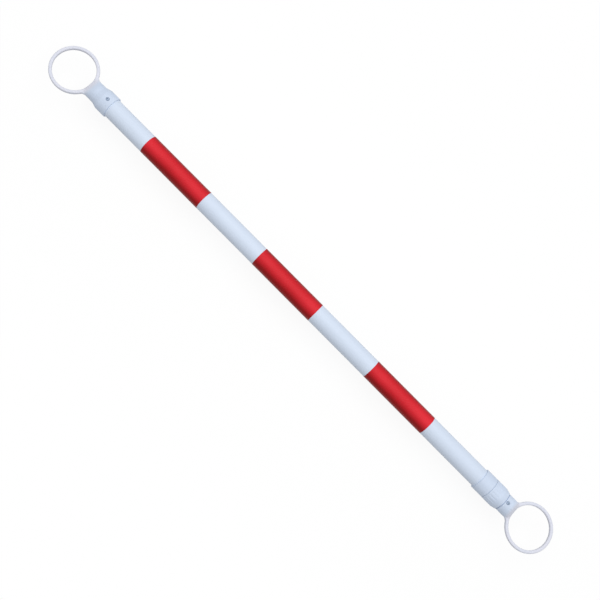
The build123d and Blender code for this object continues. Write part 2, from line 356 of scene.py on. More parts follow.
@dataclass(frozen=True)
class TubePlastic(Finish):
    """Smooth drawn plastic with fine lines along the tube and a few rubbed streaks.

    Attributes:
        scuff: The colour of the streaks.
        tint_edges: The sums of lines and clouds below which the shade and above which the colour shows.
        lines: The draw lines.
        clouds: The patches of tone.
        scratches: The streaks.
        worn: The places that have streaks.
    """

    specular: float = 0.20
    relief: float = 0.00003
    scuff: Colour = (0.50, 0.54, 0.60, 1.0)
    tint_edges: Span = (0.7, 1.3)
    lines: Noise = Noise((3.0, 900.0, 900.0), 3.0, rougher=0.12)
    clouds: Noise = Noise(7.0, 3.0)
    scratches: Noise = Noise(
        (30.0, 700.0, 700.0), 4.0, edges=(0.62, 0.78), tint=0.35, rougher=0.2, raised=0.5
    )
    worn: Noise = Noise(16.0, 2.0, edges=(0.48, 0.66))

    def inputs(self, board: Board) -> dict[str, Any]:
        """Draw lines tint, roughen and raise the surface, and sparse streaks dull it.

        Args:
            board: The material's board.

        Returns:
            What goes into the shader's sockets.
        """
        place = board.place()
        drawn = board.noise(place, self.lines)
        cloud = board.noise(place, self.clouds)
        rubbed = board.marks(place, self.scratches) * board.marks(place, self.worn)
        tint = board.mix((drawn + cloud).step(*self.tint_edges), self.shade, self.colour)
        rough = self.roughness + self.lines.rougher * drawn.swing()
        return {
            "Base Color": board.mix(self.scratches.tint * rubbed, tint, self.scuff),
            "Roughness": rough + self.scratches.rougher * rubbed,
            "Normal": board.bump(drawn + self.scratches.raised * rubbed, self.relief),
        }


@dataclass(frozen=True)
class MouldedPlastic(Finish):
    """Satin moulded plastic with a fine grain and faint flow marks.

    Weather has bleached the rings, and cones have rubbed the edges of their holes.

    Attributes:
        rings: The places of the rings' centres along the pole.
        hole: The radius of the rings' holes.
        ring: The rings' outer radius.
        bleached: The colour of the rings.
        bleached_share: How much of that colour they have, before the flow marks add to it or take from it.
        bleached_edge: Where the bleaching starts to end and ends, from the rings' outer radius.
        scuff: The colour of the rubbed edges of the holes.
        scuff_reach: How far from a hole's edge it is rubbed.
        grain: The grain.
        flow: The flow marks.
        scratches: The rub marks.
    """

    specular: float = 0.3
    relief: float = 0.00005
    rings: tuple[float, ...] = ()
    hole: float = 0.0
    ring: float = 0.0
    bleached: Colour = (0.75, 0.75, 0.83, 1.0)
    bleached_share: float = 0.80
    bleached_edge: Span = (-0.002, 0.009)
    scuff: Colour = (0.50, 0.53, 0.58, 1.0)
    scuff_reach: float = 0.0025
    grain: Noise = Noise(1700.0, 2.0, rougher=0.14)
    flow: Noise = Noise((18.0, 45.0, 45.0), 4.0, edges=(0.3, 0.7), tint=0.5, rougher=0.08)
    scratches: Noise = Noise((150.0, 150.0, 55.0), 5.0, 0.65, edges=(0.45, 0.75), tint=0.22, rougher=0.15)

    def inputs(self, board: Board) -> dict[str, Any]:
        """Grain raises the surface, flow marks tint it and the rings are bleached and rubbed.

        Args:
            board: The material's board.

        Returns:
            What goes into the shader's sockets.
        """
        place = board.place()
        grain = board.noise(place, self.grain)
        flow = board.noise(place, self.flow)
        marks = board.marks(place, self.scratches)
        plan = board.stretched(place, (1.0, 1.0, 0.0))
        fade_start, fade_end = (self.ring + edge for edge in self.bleached_edge)
        near_hole, near_ring = 0.0, 0.0
        for centre in self.rings:
            away = board.distance(plan, (centre, 0.0, 0.0))
            near_hole = near_hole + (1.0 - away.step(self.hole, self.hole + self.scuff_reach))
            near_ring = near_ring + (1.0 - away.step(fade_start, fade_end))
        rubbed = near_hole * marks
        tint = board.mix(flow.step(*self.flow.edges), self.shade, self.colour)
        share = near_ring * (self.bleached_share + self.flow.tint * flow.swing())
        tint = board.mix(share, tint, self.bleached)
        rough = self.roughness + self.grain.rougher * grain.swing() + self.flow.rougher * flow.swing()
        return {
            "Base Color": board.mix(self.scratches.tint * rubbed, tint, self.scuff),
            "Roughness": rough + self.scratches.rougher * rubbed,
            "Normal": board.bump(grain, self.relief),
        }


@dataclass(frozen=True)
class RedSheeting(Finish):
    """Reflective sheeting: a clear glossy face over small six-sided cells full of glass beads.

    The red is painted lighter along the top of the pole and darker down its sides and underside: painted
    light and shade.

    Attributes:
        deep: The red of the sides and the underside, a painted shade.
        fade: The heights over the pole's axis, in radii, at which the painted lighter top starts and is
            whole.
        painted_light_uneven: How much the clouds move those heights.
        radius: The radius that the sheeting is wrapped at.
        cell: The distance across a cell's flats.
        seal: The colour of the sealed lines between cells.
        seal_edge: Where the sealed lines start and are whole, in cells from a cell's middle.
        seal_tint: How much of their colour they take on the painted lighter top.
        seal_deep: The share of that which they take on the painted shade of the sides.
        seal_rougher: How much rougher they are.
        seal_raised: How much they raise the surface.
        tint_edges: The sums of clouds and beads below which the shade and above which the colour shows.
        beads: The glass beads.
        clouds: The patches of tone.
    """

    specular: float = 0.10
    deep: Colour = (0.275, 0.004, 0.005, 1.0)
    fade: Span = (0.50, 1.20)
    painted_light_uneven: float = 0.25
    radius: float = 0.02
    cell: float = 0.0032
    seal: Colour = (0.70, 0.05, 0.06, 1.0)
    seal_edge: Span = (0.43, 0.49)
    seal_tint: float = 0.35
    seal_deep: float = 0.4
    seal_rougher: float = 0.08
    seal_raised: float = 0.7
    tint_edges: Span = (0.35, 0.65)
    beads: Noise = Noise(5200.0, 1.0, tint=0.4, raised=0.3)
    clouds: Noise = Noise(9.0, 3.0, tint=0.6, rougher=0.1)

    def cells(self, along: Reading, around: Reading) -> Reading:
        """How far a point is from the middle of its six-sided cell.

        The cells' middles are the middles of oblongs, 1 along by sqrt(3) around, and of a second set of them
        that lies half an oblong over both ways. A point belongs to the nearer middle, and its distance from
        one that is u along and v around it is the larger of |u| and |u| / 2 + |v| sqrt(3) / 2.

        Args:
            along: The place along the pole, in cells.
            around: The place round the pole, in cells.

        Returns:
            0 at the cell's middle and 0.5 at its edge.
        """
        tall = math.sqrt(3.0)
        reaches = []
        for shift in (0.0, 0.5):
            u = abs((along + shift) % 1.0 - 0.5)
            v = abs((around + shift * tall) % tall - 0.5 * tall)
            reaches.append(u.most(0.5 * u + 0.5 * tall * v))
        return reaches[0].least(reaches[1])

    def inputs(self, board: Board) -> dict[str, Any]:
        """Cell seams and bead grain tint the red, painted light and shade make it lighter on top and darker
        down the sides, and the clear face is slightly uneven.

        Args:
            board: The material's board.

        Returns:
            What goes into the shader's sockets.
        """
        place = board.place()
        height = board.part(place, "Z")
        along = board.part(place, "X") / self.cell
        around = board.part(place, "Y").turn(height) * (self.radius / self.cell)
        edge = self.cells(along, around).step(*self.seal_edge)
        beads = board.noise(place, self.beads)
        cloud = board.noise(place, self.clouds)
        # Painted light and shade: the red runs from its lit colour along the top of the pole to the deep,
        # shaded colour down the sides.
        painted_light_share = (height / self.radius + self.painted_light_uneven * cloud.swing()).step(*self.fade)
        tone = (self.clouds.tint * cloud + self.beads.tint * beads).step(*self.tint_edges)
        red = board.mix(painted_light_share, self.deep, board.mix(tone, self.shade, self.colour))
        seal = self.seal_tint * edge * (self.seal_deep + (1.0 - self.seal_deep) * painted_light_share)
        return {
            "Base Color": board.mix(seal, red, self.seal),
            "Roughness": self.roughness + self.clouds.rougher * cloud.swing() + self.seal_rougher * edge,
            "Normal": board.bump(self.seal_raised * edge + self.beads.raised * beads, self.relief),
        }


@dataclass(frozen=True)
class PlatedSteel(Finish):
    """Bright zinc on steel, clouded and a little dull.

    Attributes:
        tint_edges: The sums of clouds and crystals below which the shade and above which the colour shows.
        clouds: The dull patches.
        crystals: The crystals of zinc.
    """

    relief: float = 0.00001
    tint_edges: Span = (0.5, 1.0)
    clouds: Noise = Noise(420.0, 4.0, rougher=0.25)
    crystals: Noise = Noise(2600.0, 2.0, tint=0.5)

    def inputs(self, board: Board) -> dict[str, Any]:
        """Crystals and dull clouds tint and roughen the metal.

        Args:
            board: The material's board.

        Returns:
            What goes into the shader's sockets.
        """
        place = board.place()
        cloud = board.noise(place, self.clouds)
        spangle = board.noise(place, self.crystals)
        tone = (cloud + self.crystals.tint * spangle).step(*self.tint_edges)
        return {
            "Base Color": board.mix(tone, self.shade, self.colour),
            "Metallic": 1.0,
            "Roughness": self.roughness + self.clouds.rougher * cloud.swing(),
            "Normal": board.bump(spangle, self.relief),
        }


@dataclass(frozen=True)
class PlainPart(Finish):
    """A hidden moulding or rubber ring, with a fine grain and uneven tone.

    Attributes:
        grain: The grain.
        clouds: The patches of tone.
    """

    grain: Noise = Noise(1500.0, 2.0, rougher=0.15)
    clouds: Noise = Noise(60.0, 4.0, edges=(0.3, 0.7))

    def inputs(self, board: Board) -> dict[str, Any]:
        """Grain raises the surface and clouds tint it.

        Args:
            board: The material's board.

        Returns:
            What goes into the shader's sockets.
        """
        place = board.place()
        grain = board.noise(place, self.grain)
        return {
            "Base Color": board.mix(board.marks(place, self.clouds), self.shade, self.colour),
            "Roughness": self.roughness + self.grain.rougher * grain.swing(),
            "Normal": board.bump(grain, self.relief),
        }


# The rings' places, in metres, and their radii, and what this pole is made of
RING_CENTRES = tuple(mount["pos_m"][0] for mount in frame["record"]["mounts"])
RING_HOLE = frame["record"]["mounts"][0]["dims"]["r_mm"]
RING_RADIUS = -cad_box[0][0] / MM

WHITE_TUBE = TubePlastic(
    name="drawn_white_plastic",
    slot=Slot.WHITE_TUBE,
    colour=(0.68, 0.765, 0.90, 1.0),
    shade=(0.65, 0.735, 0.87, 1.0),
    roughness=0.36,
)
WHITE_MOULDING = MouldedPlastic(
    name="moulded_white_plastic",
    slot=Slot.WHITE_MOULDING,
    colour=(0.64, 0.73, 0.88, 1.0),
    shade=(0.60, 0.69, 0.84, 1.0),
    roughness=0.46,
    rings=RING_CENTRES,
    hole=RING_HOLE * MM,
    ring=RING_RADIUS * MM,
)
# The red's colour and shade are its painted lit top; the sides take the painted shade in deep.
RED_SHEETING = RedSheeting(
    name="red_cell_sheeting",
    slot=Slot.RED_SHEETING,
    colour=(0.84, 0.027, 0.045, 1.0),
    shade=(0.74, 0.020, 0.032, 1.0),
    roughness=0.32,
)
STEEL = PlatedSteel(
    name="zinc_on_steel",
    slot=Slot.STEEL,
    colour=(0.34, 0.41, 0.52, 1.0),
    shade=(0.20, 0.25, 0.33, 1.0),
    roughness=0.48,
)
NATURAL_PLASTIC = PlainPart(
    name="off_white_plastic",
    slot=Slot.NATURAL_PLASTIC,
    colour=(0.80, 0.77, 0.68, 1.0),
    shade=(0.74, 0.71, 0.62, 1.0),
    roughness=0.5,
)
BLACK_RUBBER = PlainPart(
    name="ring_rubber",
    slot=Slot.BLACK_RUBBER,
    colour=(0.03, 0.03, 0.03, 1.0),
    shade=(0.02, 0.02, 0.02, 1.0),
    roughness=0.75,
    grain=Noise(900.0, 2.0, rougher=0.15),
)


# Meshes, pieces and measuring
def measured() -> Any:
    """A dataclass field that is read from the CAD node and isn't given."""
    return field(init=False)


def add_object(name: str, data: bpy.types.ID) -> bpy.types.Object:
    """Puts an object into the scene.

    Args:
        name: The object's name.
        data: Its mesh, camera or light.

    Returns:
        The object.
    """
    made = bpy.data.objects.new(name, data)
    bpy.context.scene.collection.objects.link(made)
    return made


@dataclass
class Patch:
    """A grid of points, rows by columns, in millimetres.

    Attributes:
        points: The grid, of shape (rows, columns, 3).
        closed: Whether the last column joins the first.
    """

    points: np.ndarray
    closed: bool = True

    def quads(self, first: int) -> np.ndarray:
        """The grid's faces.

        Face (i, j) joins the points (i, j), (i, j + 1), (i + 1, j + 1) and (i + 1, j).

        Args:
            first: The number of the grid's first point in the mesh.

        Returns:
            Four point numbers for each face.
        """
        rows, columns = self.points.shape[:2]
        wide = columns if self.closed else columns - 1
        row, column = np.meshgrid(np.arange(rows - 1), np.arange(wide), indexing="ij")
        here, below = row * columns, (row + 1) * columns
        beside = (column + 1) % columns
        corners = [here + column, here + beside, below + beside, below + column]
        return np.stack(corners, axis=-1).reshape(-1, 4) + first


@dataclass
class Piece:
    """One piece of the visual model, made of patches that are welded along their edges.

    Attributes:
        name: The piece's name.
        patches: The patches of its surface.
        body: The CAD body that it rides on.
        node: The CAD node that it stands for.
        finish: What it is made of.
    """

    name: str
    patches: Sequence[Patch]
    body: Body
    node: str
    finish: Finish

    def mesh(self) -> bpy.types.Mesh:
        """Joins the patches in one mesh, welds it and smooths it.

        Returns:
            The finished mesh.
        """
        counts = [patch.points.shape[0] * patch.points.shape[1] for patch in self.patches]
        firsts = np.cumsum([0, *counts[:-1]])
        points = np.concatenate([patch.points.reshape(-1, 3) for patch in self.patches]) * MM
        quads = np.concatenate([patch.quads(first) for patch, first in zip(self.patches, firsts)])
        made = bpy.data.meshes.new(self.name)
        made.vertices.add(len(points))
        made.vertices.foreach_set("co", points.astype(np.float32).ravel())
        made.loops.add(quads.size)
        made.loops.foreach_set("vertex_index", quads.astype(np.int32).ravel())
        made.polygons.add(len(quads))
        made.polygons.foreach_set("loop_start", np.arange(0, quads.size, 4, dtype=np.int32))
        made.update(calc_edges=True)
        self.weld(made)
        made.shade_smooth()
        made.set_sharp_from_angle(angle=CREASE)
        return made

    def weld(self, mesh: bpy.types.Mesh) -> None:
        """Merges the points that patches share and turns all faces outwards.

        Args:
            mesh: The mesh to weld.
        """
        work = bmesh.new()
        work.from_mesh(mesh)
        bmesh.ops.remove_doubles(work, verts=work.verts, dist=WELD)
        bmesh.ops.dissolve_degenerate(work, dist=WELD / 10, edges=work.edges)
        bmesh.ops.recalc_face_normals(work, faces=work.faces)
        work.to_mesh(mesh)
        work.free()

    def build(self) -> bpy.types.Object:
        """Makes the piece's object, dresses it and sets it on its body.

        Returns:
            The finished object.
        """
        mesh = self.mesh()
        mesh.materials.append(self.finish.material())
        made = add_object(self.name, mesh)
        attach(made, self.body.value)
        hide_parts(self.node)
        return made


class SubAssembly(Protocol):
    """A part of the pole that makes its own pieces."""

    def pieces(self) -> list[Piece]:
        """The pieces of this part."""


class Gauge:
    """Measures one CAD node at rest, in millimetres.

    Attributes:
        x: The points' places along the pole.
        y: Their places across it.
        z: Their heights over its axis.
        radius: Their distances from its axis.
    """

    def __init__(self, node: str, centre: float = 0.0, facing: Facing = Facing.FORWARD) -> None:
        """Reads the node's points.

        Args:
            node: The CAD node's name.
            centre: The place along the pole to measure from.
            facing: The way to measure along the pole.
        """
        mesh = frame["nodes"][node].data
        flat = np.empty(len(mesh.vertices) * 3, np.float32)
        mesh.vertices.foreach_get("co", flat)
        points = flat.reshape(-1, 3).astype(float) / MM
        self.x = facing.value * (points[:, 0] - centre)
        self.y = points[:, 1]
        self.z = points[:, 2]
        self.radius = np.hypot(self.y, self.z)

    def span(self, low: float = 0.0, high: float = math.inf) -> Span:
        """The reach along the pole of the points between two distances from its axis."""
        chosen = self.x[(self.radius > low) & (self.radius < high)]
        return float(chosen.min()), float(chosen.max())

    def span_at(self, radius: float) -> Span:
        """The reach along the pole of the points at a distance from its axis."""
        return self.span(radius - NEAR, radius + NEAR)

    def radii(self, low: float = -math.inf, high: float = math.inf) -> Span:
        """The least and greatest distance from the axis between two places along the pole."""
        chosen = self.radius[(self.x > low) & (self.x < high)]
        return float(chosen.min()), float(chosen.max())

    def radii_at(self, x: float) -> Span:
        """The least and greatest distance from the axis at a place along the pole."""
        return self.radii(x - NEAR, x + NEAR)

    def first_circle(self, radius: float, least: int = 24) -> float:
        """The first place along the pole where a whole circle of points stands at a distance from its axis.

        Args:
            radius: The distance from the axis.
            least: The fewest points that a whole circle has.

        Returns:
            The place.
        """
        chosen = np.round(self.x[np.abs(self.radius - radius) < NEAR], 2)
        places, counts = np.unique(chosen, return_counts=True)
        return float(places[counts >= least].min())


# Outlines, turning and drilling
def smooth_step(value: np.ndarray, low: float, high: float) -> np.ndarray:
    """3 t^2 - 2 t^3, where t goes from 0 at low to 1 at high."""
    share = np.clip((value - low) / (high - low), 0.0, 1.0)
    return share * share * (3.0 - 2.0 * share)


def smooth_most(first: np.ndarray, second: np.ndarray, reach: np.ndarray | float) -> np.ndarray:
    """The larger of two heights, plus (reach - gap)^2 / (4 reach) where their gap is less than reach."""
    near = np.maximum(reach - np.abs(first - second), 0.0)
    return np.maximum(first, second) + near * near / np.maximum(4.0 * reach, TINY)


def unit(angles: np.ndarray) -> np.ndarray:
    """The points (cos a, sin a) of the unit circle at some angles."""
    return np.stack([np.cos(angles), np.sin(angles)], axis=-1)


def straight(start: np.ndarray, end: np.ndarray) -> np.ndarray:
    """A straight run of an outline, with points close to both ends so that shading stays flat between them.

    Args:
        start: The run's first point.
        end: The run's last point.

    Returns:
        The run's points.
    """
    length = float(np.linalg.norm(end - start))
    inner = np.array([])
    if length > 4 * SUPPORT:
        inner = np.linspace(SUPPORT, length - SUPPORT, max(2, math.ceil(length / STRETCH) + 1))
    share = np.concatenate([[0.0], inner, [length]]) / length
    return start + np.outer(share, end - start)


def rounded(before: np.ndarray, corner: np.ndarray, after: np.ndarray, radius: float) -> np.ndarray:
    """An arc that rounds a corner between two straight runs.

    The arc turns evenly from one tangent point to the other about a centre on the corner's bisector.

    Args:
        before: A point on the run before the corner.
        corner: The corner.
        after: A point on the run after the corner.
        radius: The arc's radius.

    Returns:
        The arc's points.
    """
    back = (before - corner) / np.linalg.norm(before - corner)
    ahead = (after - corner) / np.linalg.norm(after - corner)
    half = 0.5 * math.acos(float(back @ ahead))
    middle = (back + ahead) / np.linalg.norm(back + ahead)
    centre = corner + middle * radius / math.sin(half)
    spokes = corner + np.stack([back, ahead]) * radius / math.tan(half) - centre
    sweep = math.pi - 2.0 * half
    share = np.linspace(0.0, 1.0, ROUND_STEPS + 1)
    weights = np.stack([np.sin((1.0 - share) * sweep), np.sin(share * sweep)], axis=1) / math.sin(sweep)
    return centre + weights @ spokes


def outline_runs(corners: Sequence[Corner]) -> list[np.ndarray]:
    """The straight and round runs of an outline.

    Args:
        corners: The corners in turn, as (x, radius) or, with a rounding, (x, radius, rounding).

    Returns:
        The runs, each an array of (x, radius).
    """
    places = [np.array(corner[:2], float) for corner in corners]
    found: list[np.ndarray] = []
    start = places[0]
    for index in range(1, len(corners) - 1):
        if len(corners[index]) == 3:
            arc = rounded(places[index - 1], places[index], places[index + 1], corners[index][2])
            found += [straight(start, arc[0]), arc]
            start = arc[-1]
        else:
            found.append(straight(start, places[index]))
            start = places[index]
    found.append(straight(start, places[-1]))
    return found


def quarter_angles(extra: Iterable[float] = ()) -> np.ndarray:
    """Angles of a quarter turn from the top to the side, in radians, with extra ones in degrees."""
    even = np.linspace(0.0, math.pi / 2, QUARTER_STEPS + 1)
    return np.union1d(even, np.radians(np.array(list(extra), float)))


def full_angles(quarter: np.ndarray) -> np.ndarray:
    """A full turn from the top, made of a quarter turn and its mirror images."""
    half = np.concatenate([quarter, math.pi - quarter[-2::-1]])
    return np.concatenate([half, 2.0 * math.pi - half[-2:0:-1]])


def window_edge() -> tuple[np.ndarray, np.ndarray]:
    """The points round the edge of a square window from -1 to 1.

    Returns:
        Their places along the pole and across it.
    """
    side = np.arange(-WINDOW, WINDOW) / WINDOW
    ones = np.ones_like(side)
    return np.concatenate([side, ones, -side, -ones]), np.concatenate([-ones, side, ones, -side])


def hole_edge(x: float, radius: float) -> np.ndarray:
    """Points in plan on a circle about x, each in the direction of a point of the window's edge."""
    along, across = window_edge()
    return np.array([x, 0.0]) + radius * unit(np.arctan2(across, along))


@dataclass(frozen=True)
class Hole:
    """A hole along Z through the walls of a turned piece.

    Attributes:
        x: The hole's place along the pole.
        radius: The hole's radius.
        half_window: Half the length of the wall that is given over to the hole.
        through: Whether the lower walls are drilled too.
        pocket: The radius of the pocket for a screw's head in the outermost wall, or 0.
        floor: The height of that pocket's floor.
        lip: The rounding of that pocket's edge.
    """

    x: float
    radius: float
    half_window: float
    through: bool = False
    pocket: float = 0.0
    floor: float = 0.0
    lip: float = 0.25

    @property
    def window(self) -> Span:
        """The ends, along the pole, of the wall that is given over to the hole."""
        return self.x - self.half_window, self.x + self.half_window

    def pocket_steps(self, rim: np.ndarray) -> list[np.ndarray]:
        """The rounded lip, wall and floor of the pocket.

        The lip is a quarter circle. At the angle a of its turn it stands pocket + lip (1 - sin a) from the
        hole's axis and lip (1 - cos a) below the wall.

        Args:
            rim: The pocket's edge on the wall.

        Returns:
            Rings of points from the edge to the hole in the floor.
        """
        turn = np.linspace(0.0, math.pi / 2, LIP_STEPS + 1)[1:]
        reaches = self.pocket + self.lip * (1.0 - np.sin(turn))
        heights = rim[:, 2] - self.lip * (1.0 - np.cos(turn))[:, None]
        floor = np.full(len(rim), self.floor)
        rings = [*zip(reaches, heights), (self.pocket, floor), (self.radius, floor)]
        return [np.column_stack([hole_edge(self.x, reach), height]) for reach, height in rings]


class Lathe:
    """Turns outlines about the pole's axis and drills the result.

    A point is (x, r sin a, r cos a) for an outline's (x, r) at the angle a from the top.

    Attributes:
        angles: The columns' angles, over a full turn.
        holes: The holes to drill, in order along the pole.
        rims: The edges cut so far, by hole and by the side of the axis, 1 above and -1 below.
    """

    def __init__(self, angles: np.ndarray, holes: Sequence[Hole] = ()) -> None:
        """Sets the lathe up.

        Args:
            angles: The columns' angles.
            holes: The holes to drill.
        """
        self.angles = angles
        self.holes = holes
        self.rims: dict[tuple[Hole, int], list[np.ndarray]] = {}

    def radii(self, run: np.ndarray, angles: np.ndarray) -> np.ndarray:
        """The distance from the axis at each point of a run and each angle, which here is the run's own."""
        return np.repeat(run[:, 1:2], len(angles), axis=1)

    def sweep(self, run: np.ndarray, angles: np.ndarray) -> np.ndarray:
        """The grid of a run turned through some angles.

        Args:
            run: The run's (x, radius) points.
            angles: The columns' angles.

        Returns:
            The grid's points.
        """
        radii = self.radii(run, angles)
        along = np.repeat(run[:, 0:1], len(angles), axis=1)
        return np.stack([along, radii * np.sin(angles), radii * np.cos(angles)], axis=-1)

    def turn(self, corners: Sequence[Corner]) -> list[Patch]:
        """Turns an outline and drills the walls that the holes cross.

        Args:
            corners: The outline's corners.

        Returns:
            The patches of the surface.
        """
        patches: list[Patch] = []
        for run in outline_runs(corners):
            (first, radius), (last, end_radius) = run[0], run[-1]
            low, high = sorted((first, last))
            crossed = [hole for hole in self.holes if low < hole.window[0] and hole.window[1] < high]
            if not crossed or abs(radius - end_radius) > TINY:
                patches.append(Patch(self.sweep(run, self.angles)))
                continue
            ends = [low, *(end for hole in crossed for end in hole.window), high]
            for start, end in zip(ends[::2], ends[1::2]):
                stretch = straight(np.array([start, radius]), np.array([end, radius]))
                patches.append(Patch(self.sweep(stretch, self.angles)))
            for hole in crossed:
                patches += self.drill(hole, radius)
        return patches

    def drill(self, hole: Hole, radius: float) -> list[Patch]:
        """The stretch of a wall that a hole goes through.

        Beside the hole the wall is turned as before. Round it, a patch goes from the window's edge to the
        hole's circle by straight lines in plan. Each point is lifted to the wall, z = sqrt(radius^2 - y^2).

        Args:
            hole: The hole.
            radius: The wall's radius.

        Returns:
            The patches of the stretch.
        """
        count, half_turn = len(self.angles), len(self.angles) // 2
        rows = np.linspace(*hole.window, 2 * WINDOW + 1)
        run = np.column_stack([rows, np.full_like(rows, radius)])
        cuts = [(WINDOW, count - WINDOW)]
        if hole.through:
            cuts = [(WINDOW, half_turn - WINDOW), (half_turn + WINDOW, count - WINDOW)]
        patches = [Patch(self.sweep(run, self.angles[low : high + 1]), closed=False) for low, high in cuts]
        along, across = window_edge()
        half_width = radius * np.sin(across * self.angles[WINDOW])
        edge = np.stack([hole.x + hole.half_window * along, half_width], axis=-1)
        outermost = (hole, 1) not in self.rims
        rim = hole.pocket + hole.lip if hole.pocket and outermost else hole.radius
        share = np.array(WINDOW_ROWS)[:, None, None]
        plan = (1.0 - share) * edge + share * hole_edge(hole.x, rim)
        lifted = np.sqrt(radius**2 - plan[..., 1] ** 2)
        for side in (1, -1) if hole.through else (1,):
            grid = np.dstack([plan, side * lifted])
            patches.append(Patch(grid))
            self.rims.setdefault((hole, side), []).append(grid[-1])
        return patches

    def bores(self) -> list[Patch]:
        """The walls of the holes, from each outer wall to the inner wall below it.

        Returns:
            One patch for each wall that a hole goes through.
        """
        patches = []
        for (hole, _), rims in self.rims.items():
            ordered = sorted(rims, key=lambda rim: -float(np.abs(rim[:, 2]).max()))
            for number, (outer, inner) in enumerate(zip(ordered[::2], ordered[1::2])):
                steps = hole.pocket_steps(outer) if hole.pocket and number == 0 else []
                patches.append(Patch(np.stack([outer, *steps, inner])))
        return patches


class SeamedLathe(Lathe):
    """A lathe for a moulding with a parting line along both sides.

    Attributes:
        height: The line's height.
        above: The radius over which a wall is an outer one and shows the line.
        beyond: The place along the pole from which it shows.
    """

    def __init__(
        self, angles: np.ndarray, holes: Sequence[Hole], height: float, above: float, beyond: float
    ) -> None:
        """Sets the lathe up.

        Args:
            angles: The columns' angles.
            holes: The holes to drill.
            height: The line's height.
            above: The radius over which a wall shows the line.
            beyond: The place along the pole from which it shows.
        """
        super().__init__(angles, holes)
        self.height = height
        self.above = above
        self.beyond = beyond

    def radii(self, run: np.ndarray, angles: np.ndarray) -> np.ndarray:
        """The run's radius, raised by the line's height at the two sides of outer walls.

        Args:
            run: The run's (x, radius) points.
            angles: The columns' angles.

        Returns:
            The distances from the axis.
        """
        outer = (run[:, 1] > self.above) & (run[:, 0] > self.beyond)
        seam = np.abs(np.cos(angles)) < TINY
        return run[:, 1:2] + self.height * np.outer(outer, seam)


# Sub-assemblies
@dataclass
class Tube:
    """One of the two drawn tubes, with its drilled holes.

    Attributes:
        name: The piece's name.
        node: The CAD node.
        body: The body that it rides on.
        holes: The holes in it.
        edge: The rounding of its cut ends.
    """

    name: str
    node: str
    body: Body
    holes: Sequence[Hole]
    edge: float = 0.3

    def pieces(self) -> list[Piece]:
        """The tube, as an outline turned about the pole.

        Returns:
            One piece.
        """
        gauge = Gauge(self.node)
        start, end = gauge.span()
        bore, radius = gauge.radii()
        corners = [
            (start, bore),
            (start, radius, self.edge),
            (end, radius, self.edge),
            (end, bore, self.edge),
            (start, bore),
        ]
        lathe = Lathe(full_angles(quarter_angles()), self.holes)
        patches = lathe.turn(corners)
        return [Piece(self.name, patches + lathe.bores(), self.body, self.node, WHITE_TUBE)]


@dataclass
class RedBands:
    """The wraps of reflective sheeting on the outer tube.

    Attributes:
        skews: How far each wrap's end is out of line with its start.
        film: The sheeting's thickness.
        thin: The share of that thickness at the cut edges.
        lap: How far, in degrees, the end of a wrap lies over its start.
        climb: The angles, in degrees, at which a wrap starts and has ended its climb over its own start.
        edge_rows: How far from the cut edges the sheeting has extra points.
        stretches: Steps from edge to edge.
        steps: Steps round the tube.
    """

    skews: tuple[float, ...] = (0.5, -0.3, 0.4)
    film: float = 0.26
    thin: float = 0.6
    lap: float = 16.0
    climb: Span = (357.0, 361.5)
    edge_rows: tuple[float, ...] = (0.08, 0.3)
    stretches: int = 8
    steps: int = 208

    def wrap(self, start: float, end: float, inside: float, skew: float) -> list[Patch]:
        """One wrap of sheeting, as a flat rounded section carried round the tube.

        At the angle a from the lower side the section stands at inside + film s, where s steps from 0 to 1 as
        the wrap climbs over its own start, and is moved along the tube by skew (a - half the turn) / 360.

        Args:
            start: The band's first edge along the tube.
            end: Its other edge.
            inside: The radius under the sheeting.
            skew: How far the end is out of line.

        Returns:
            The band's patches: the section's sweep and its two cut ends.
        """
        whole = 360.0 + self.lap
        turn = np.linspace(0.0, whole, self.steps + 1)
        angles = np.radians(turn + 180.0)[:, None]
        near = np.array(self.edge_rows)
        inner = np.linspace(start, end, self.stretches + 1)[1:-1]
        along = np.concatenate([[start], start + near, inner, end - near[::-1], [end]])
        upper = np.stack([along, np.full_like(along, self.film)], axis=1)
        upper[[0, -1], 1] = self.thin * self.film
        lower = np.stack([along[::-1], np.zeros_like(along)], axis=1)
        section = np.concatenate([upper, lower])
        climb = smooth_step(turn, *self.climb)
        radii = inside + self.film * climb[:, None] + section[:, 1]
        places = section[:, 0] + skew * (turn[:, None] - whole / 2) / 360.0
        grid = np.stack([places, radii * np.sin(angles), radii * np.cos(angles)], axis=-1)
        cut = len(along)
        ends = [np.stack([grid[row, :cut], grid[row, : cut - 1 : -1]]) for row in (0, -1)]
        return [Patch(grid), *(Patch(points, closed=False) for points in ends)]

    def pieces(self) -> list[Piece]:
        """The bands in turn along the tube.

        Returns:
            One piece for each band.
        """
        made = []
        for number, skew in enumerate(self.skews, start=1):
            node = f"red_band_{number}"
            gauge = Gauge(node)
            patches = self.wrap(*gauge.span(), gauge.radii()[0], skew)
            made.append(Piece(f"red_wrap_{number}", patches, Body.OUTER_POLE, node, RED_SHEETING))
        return made


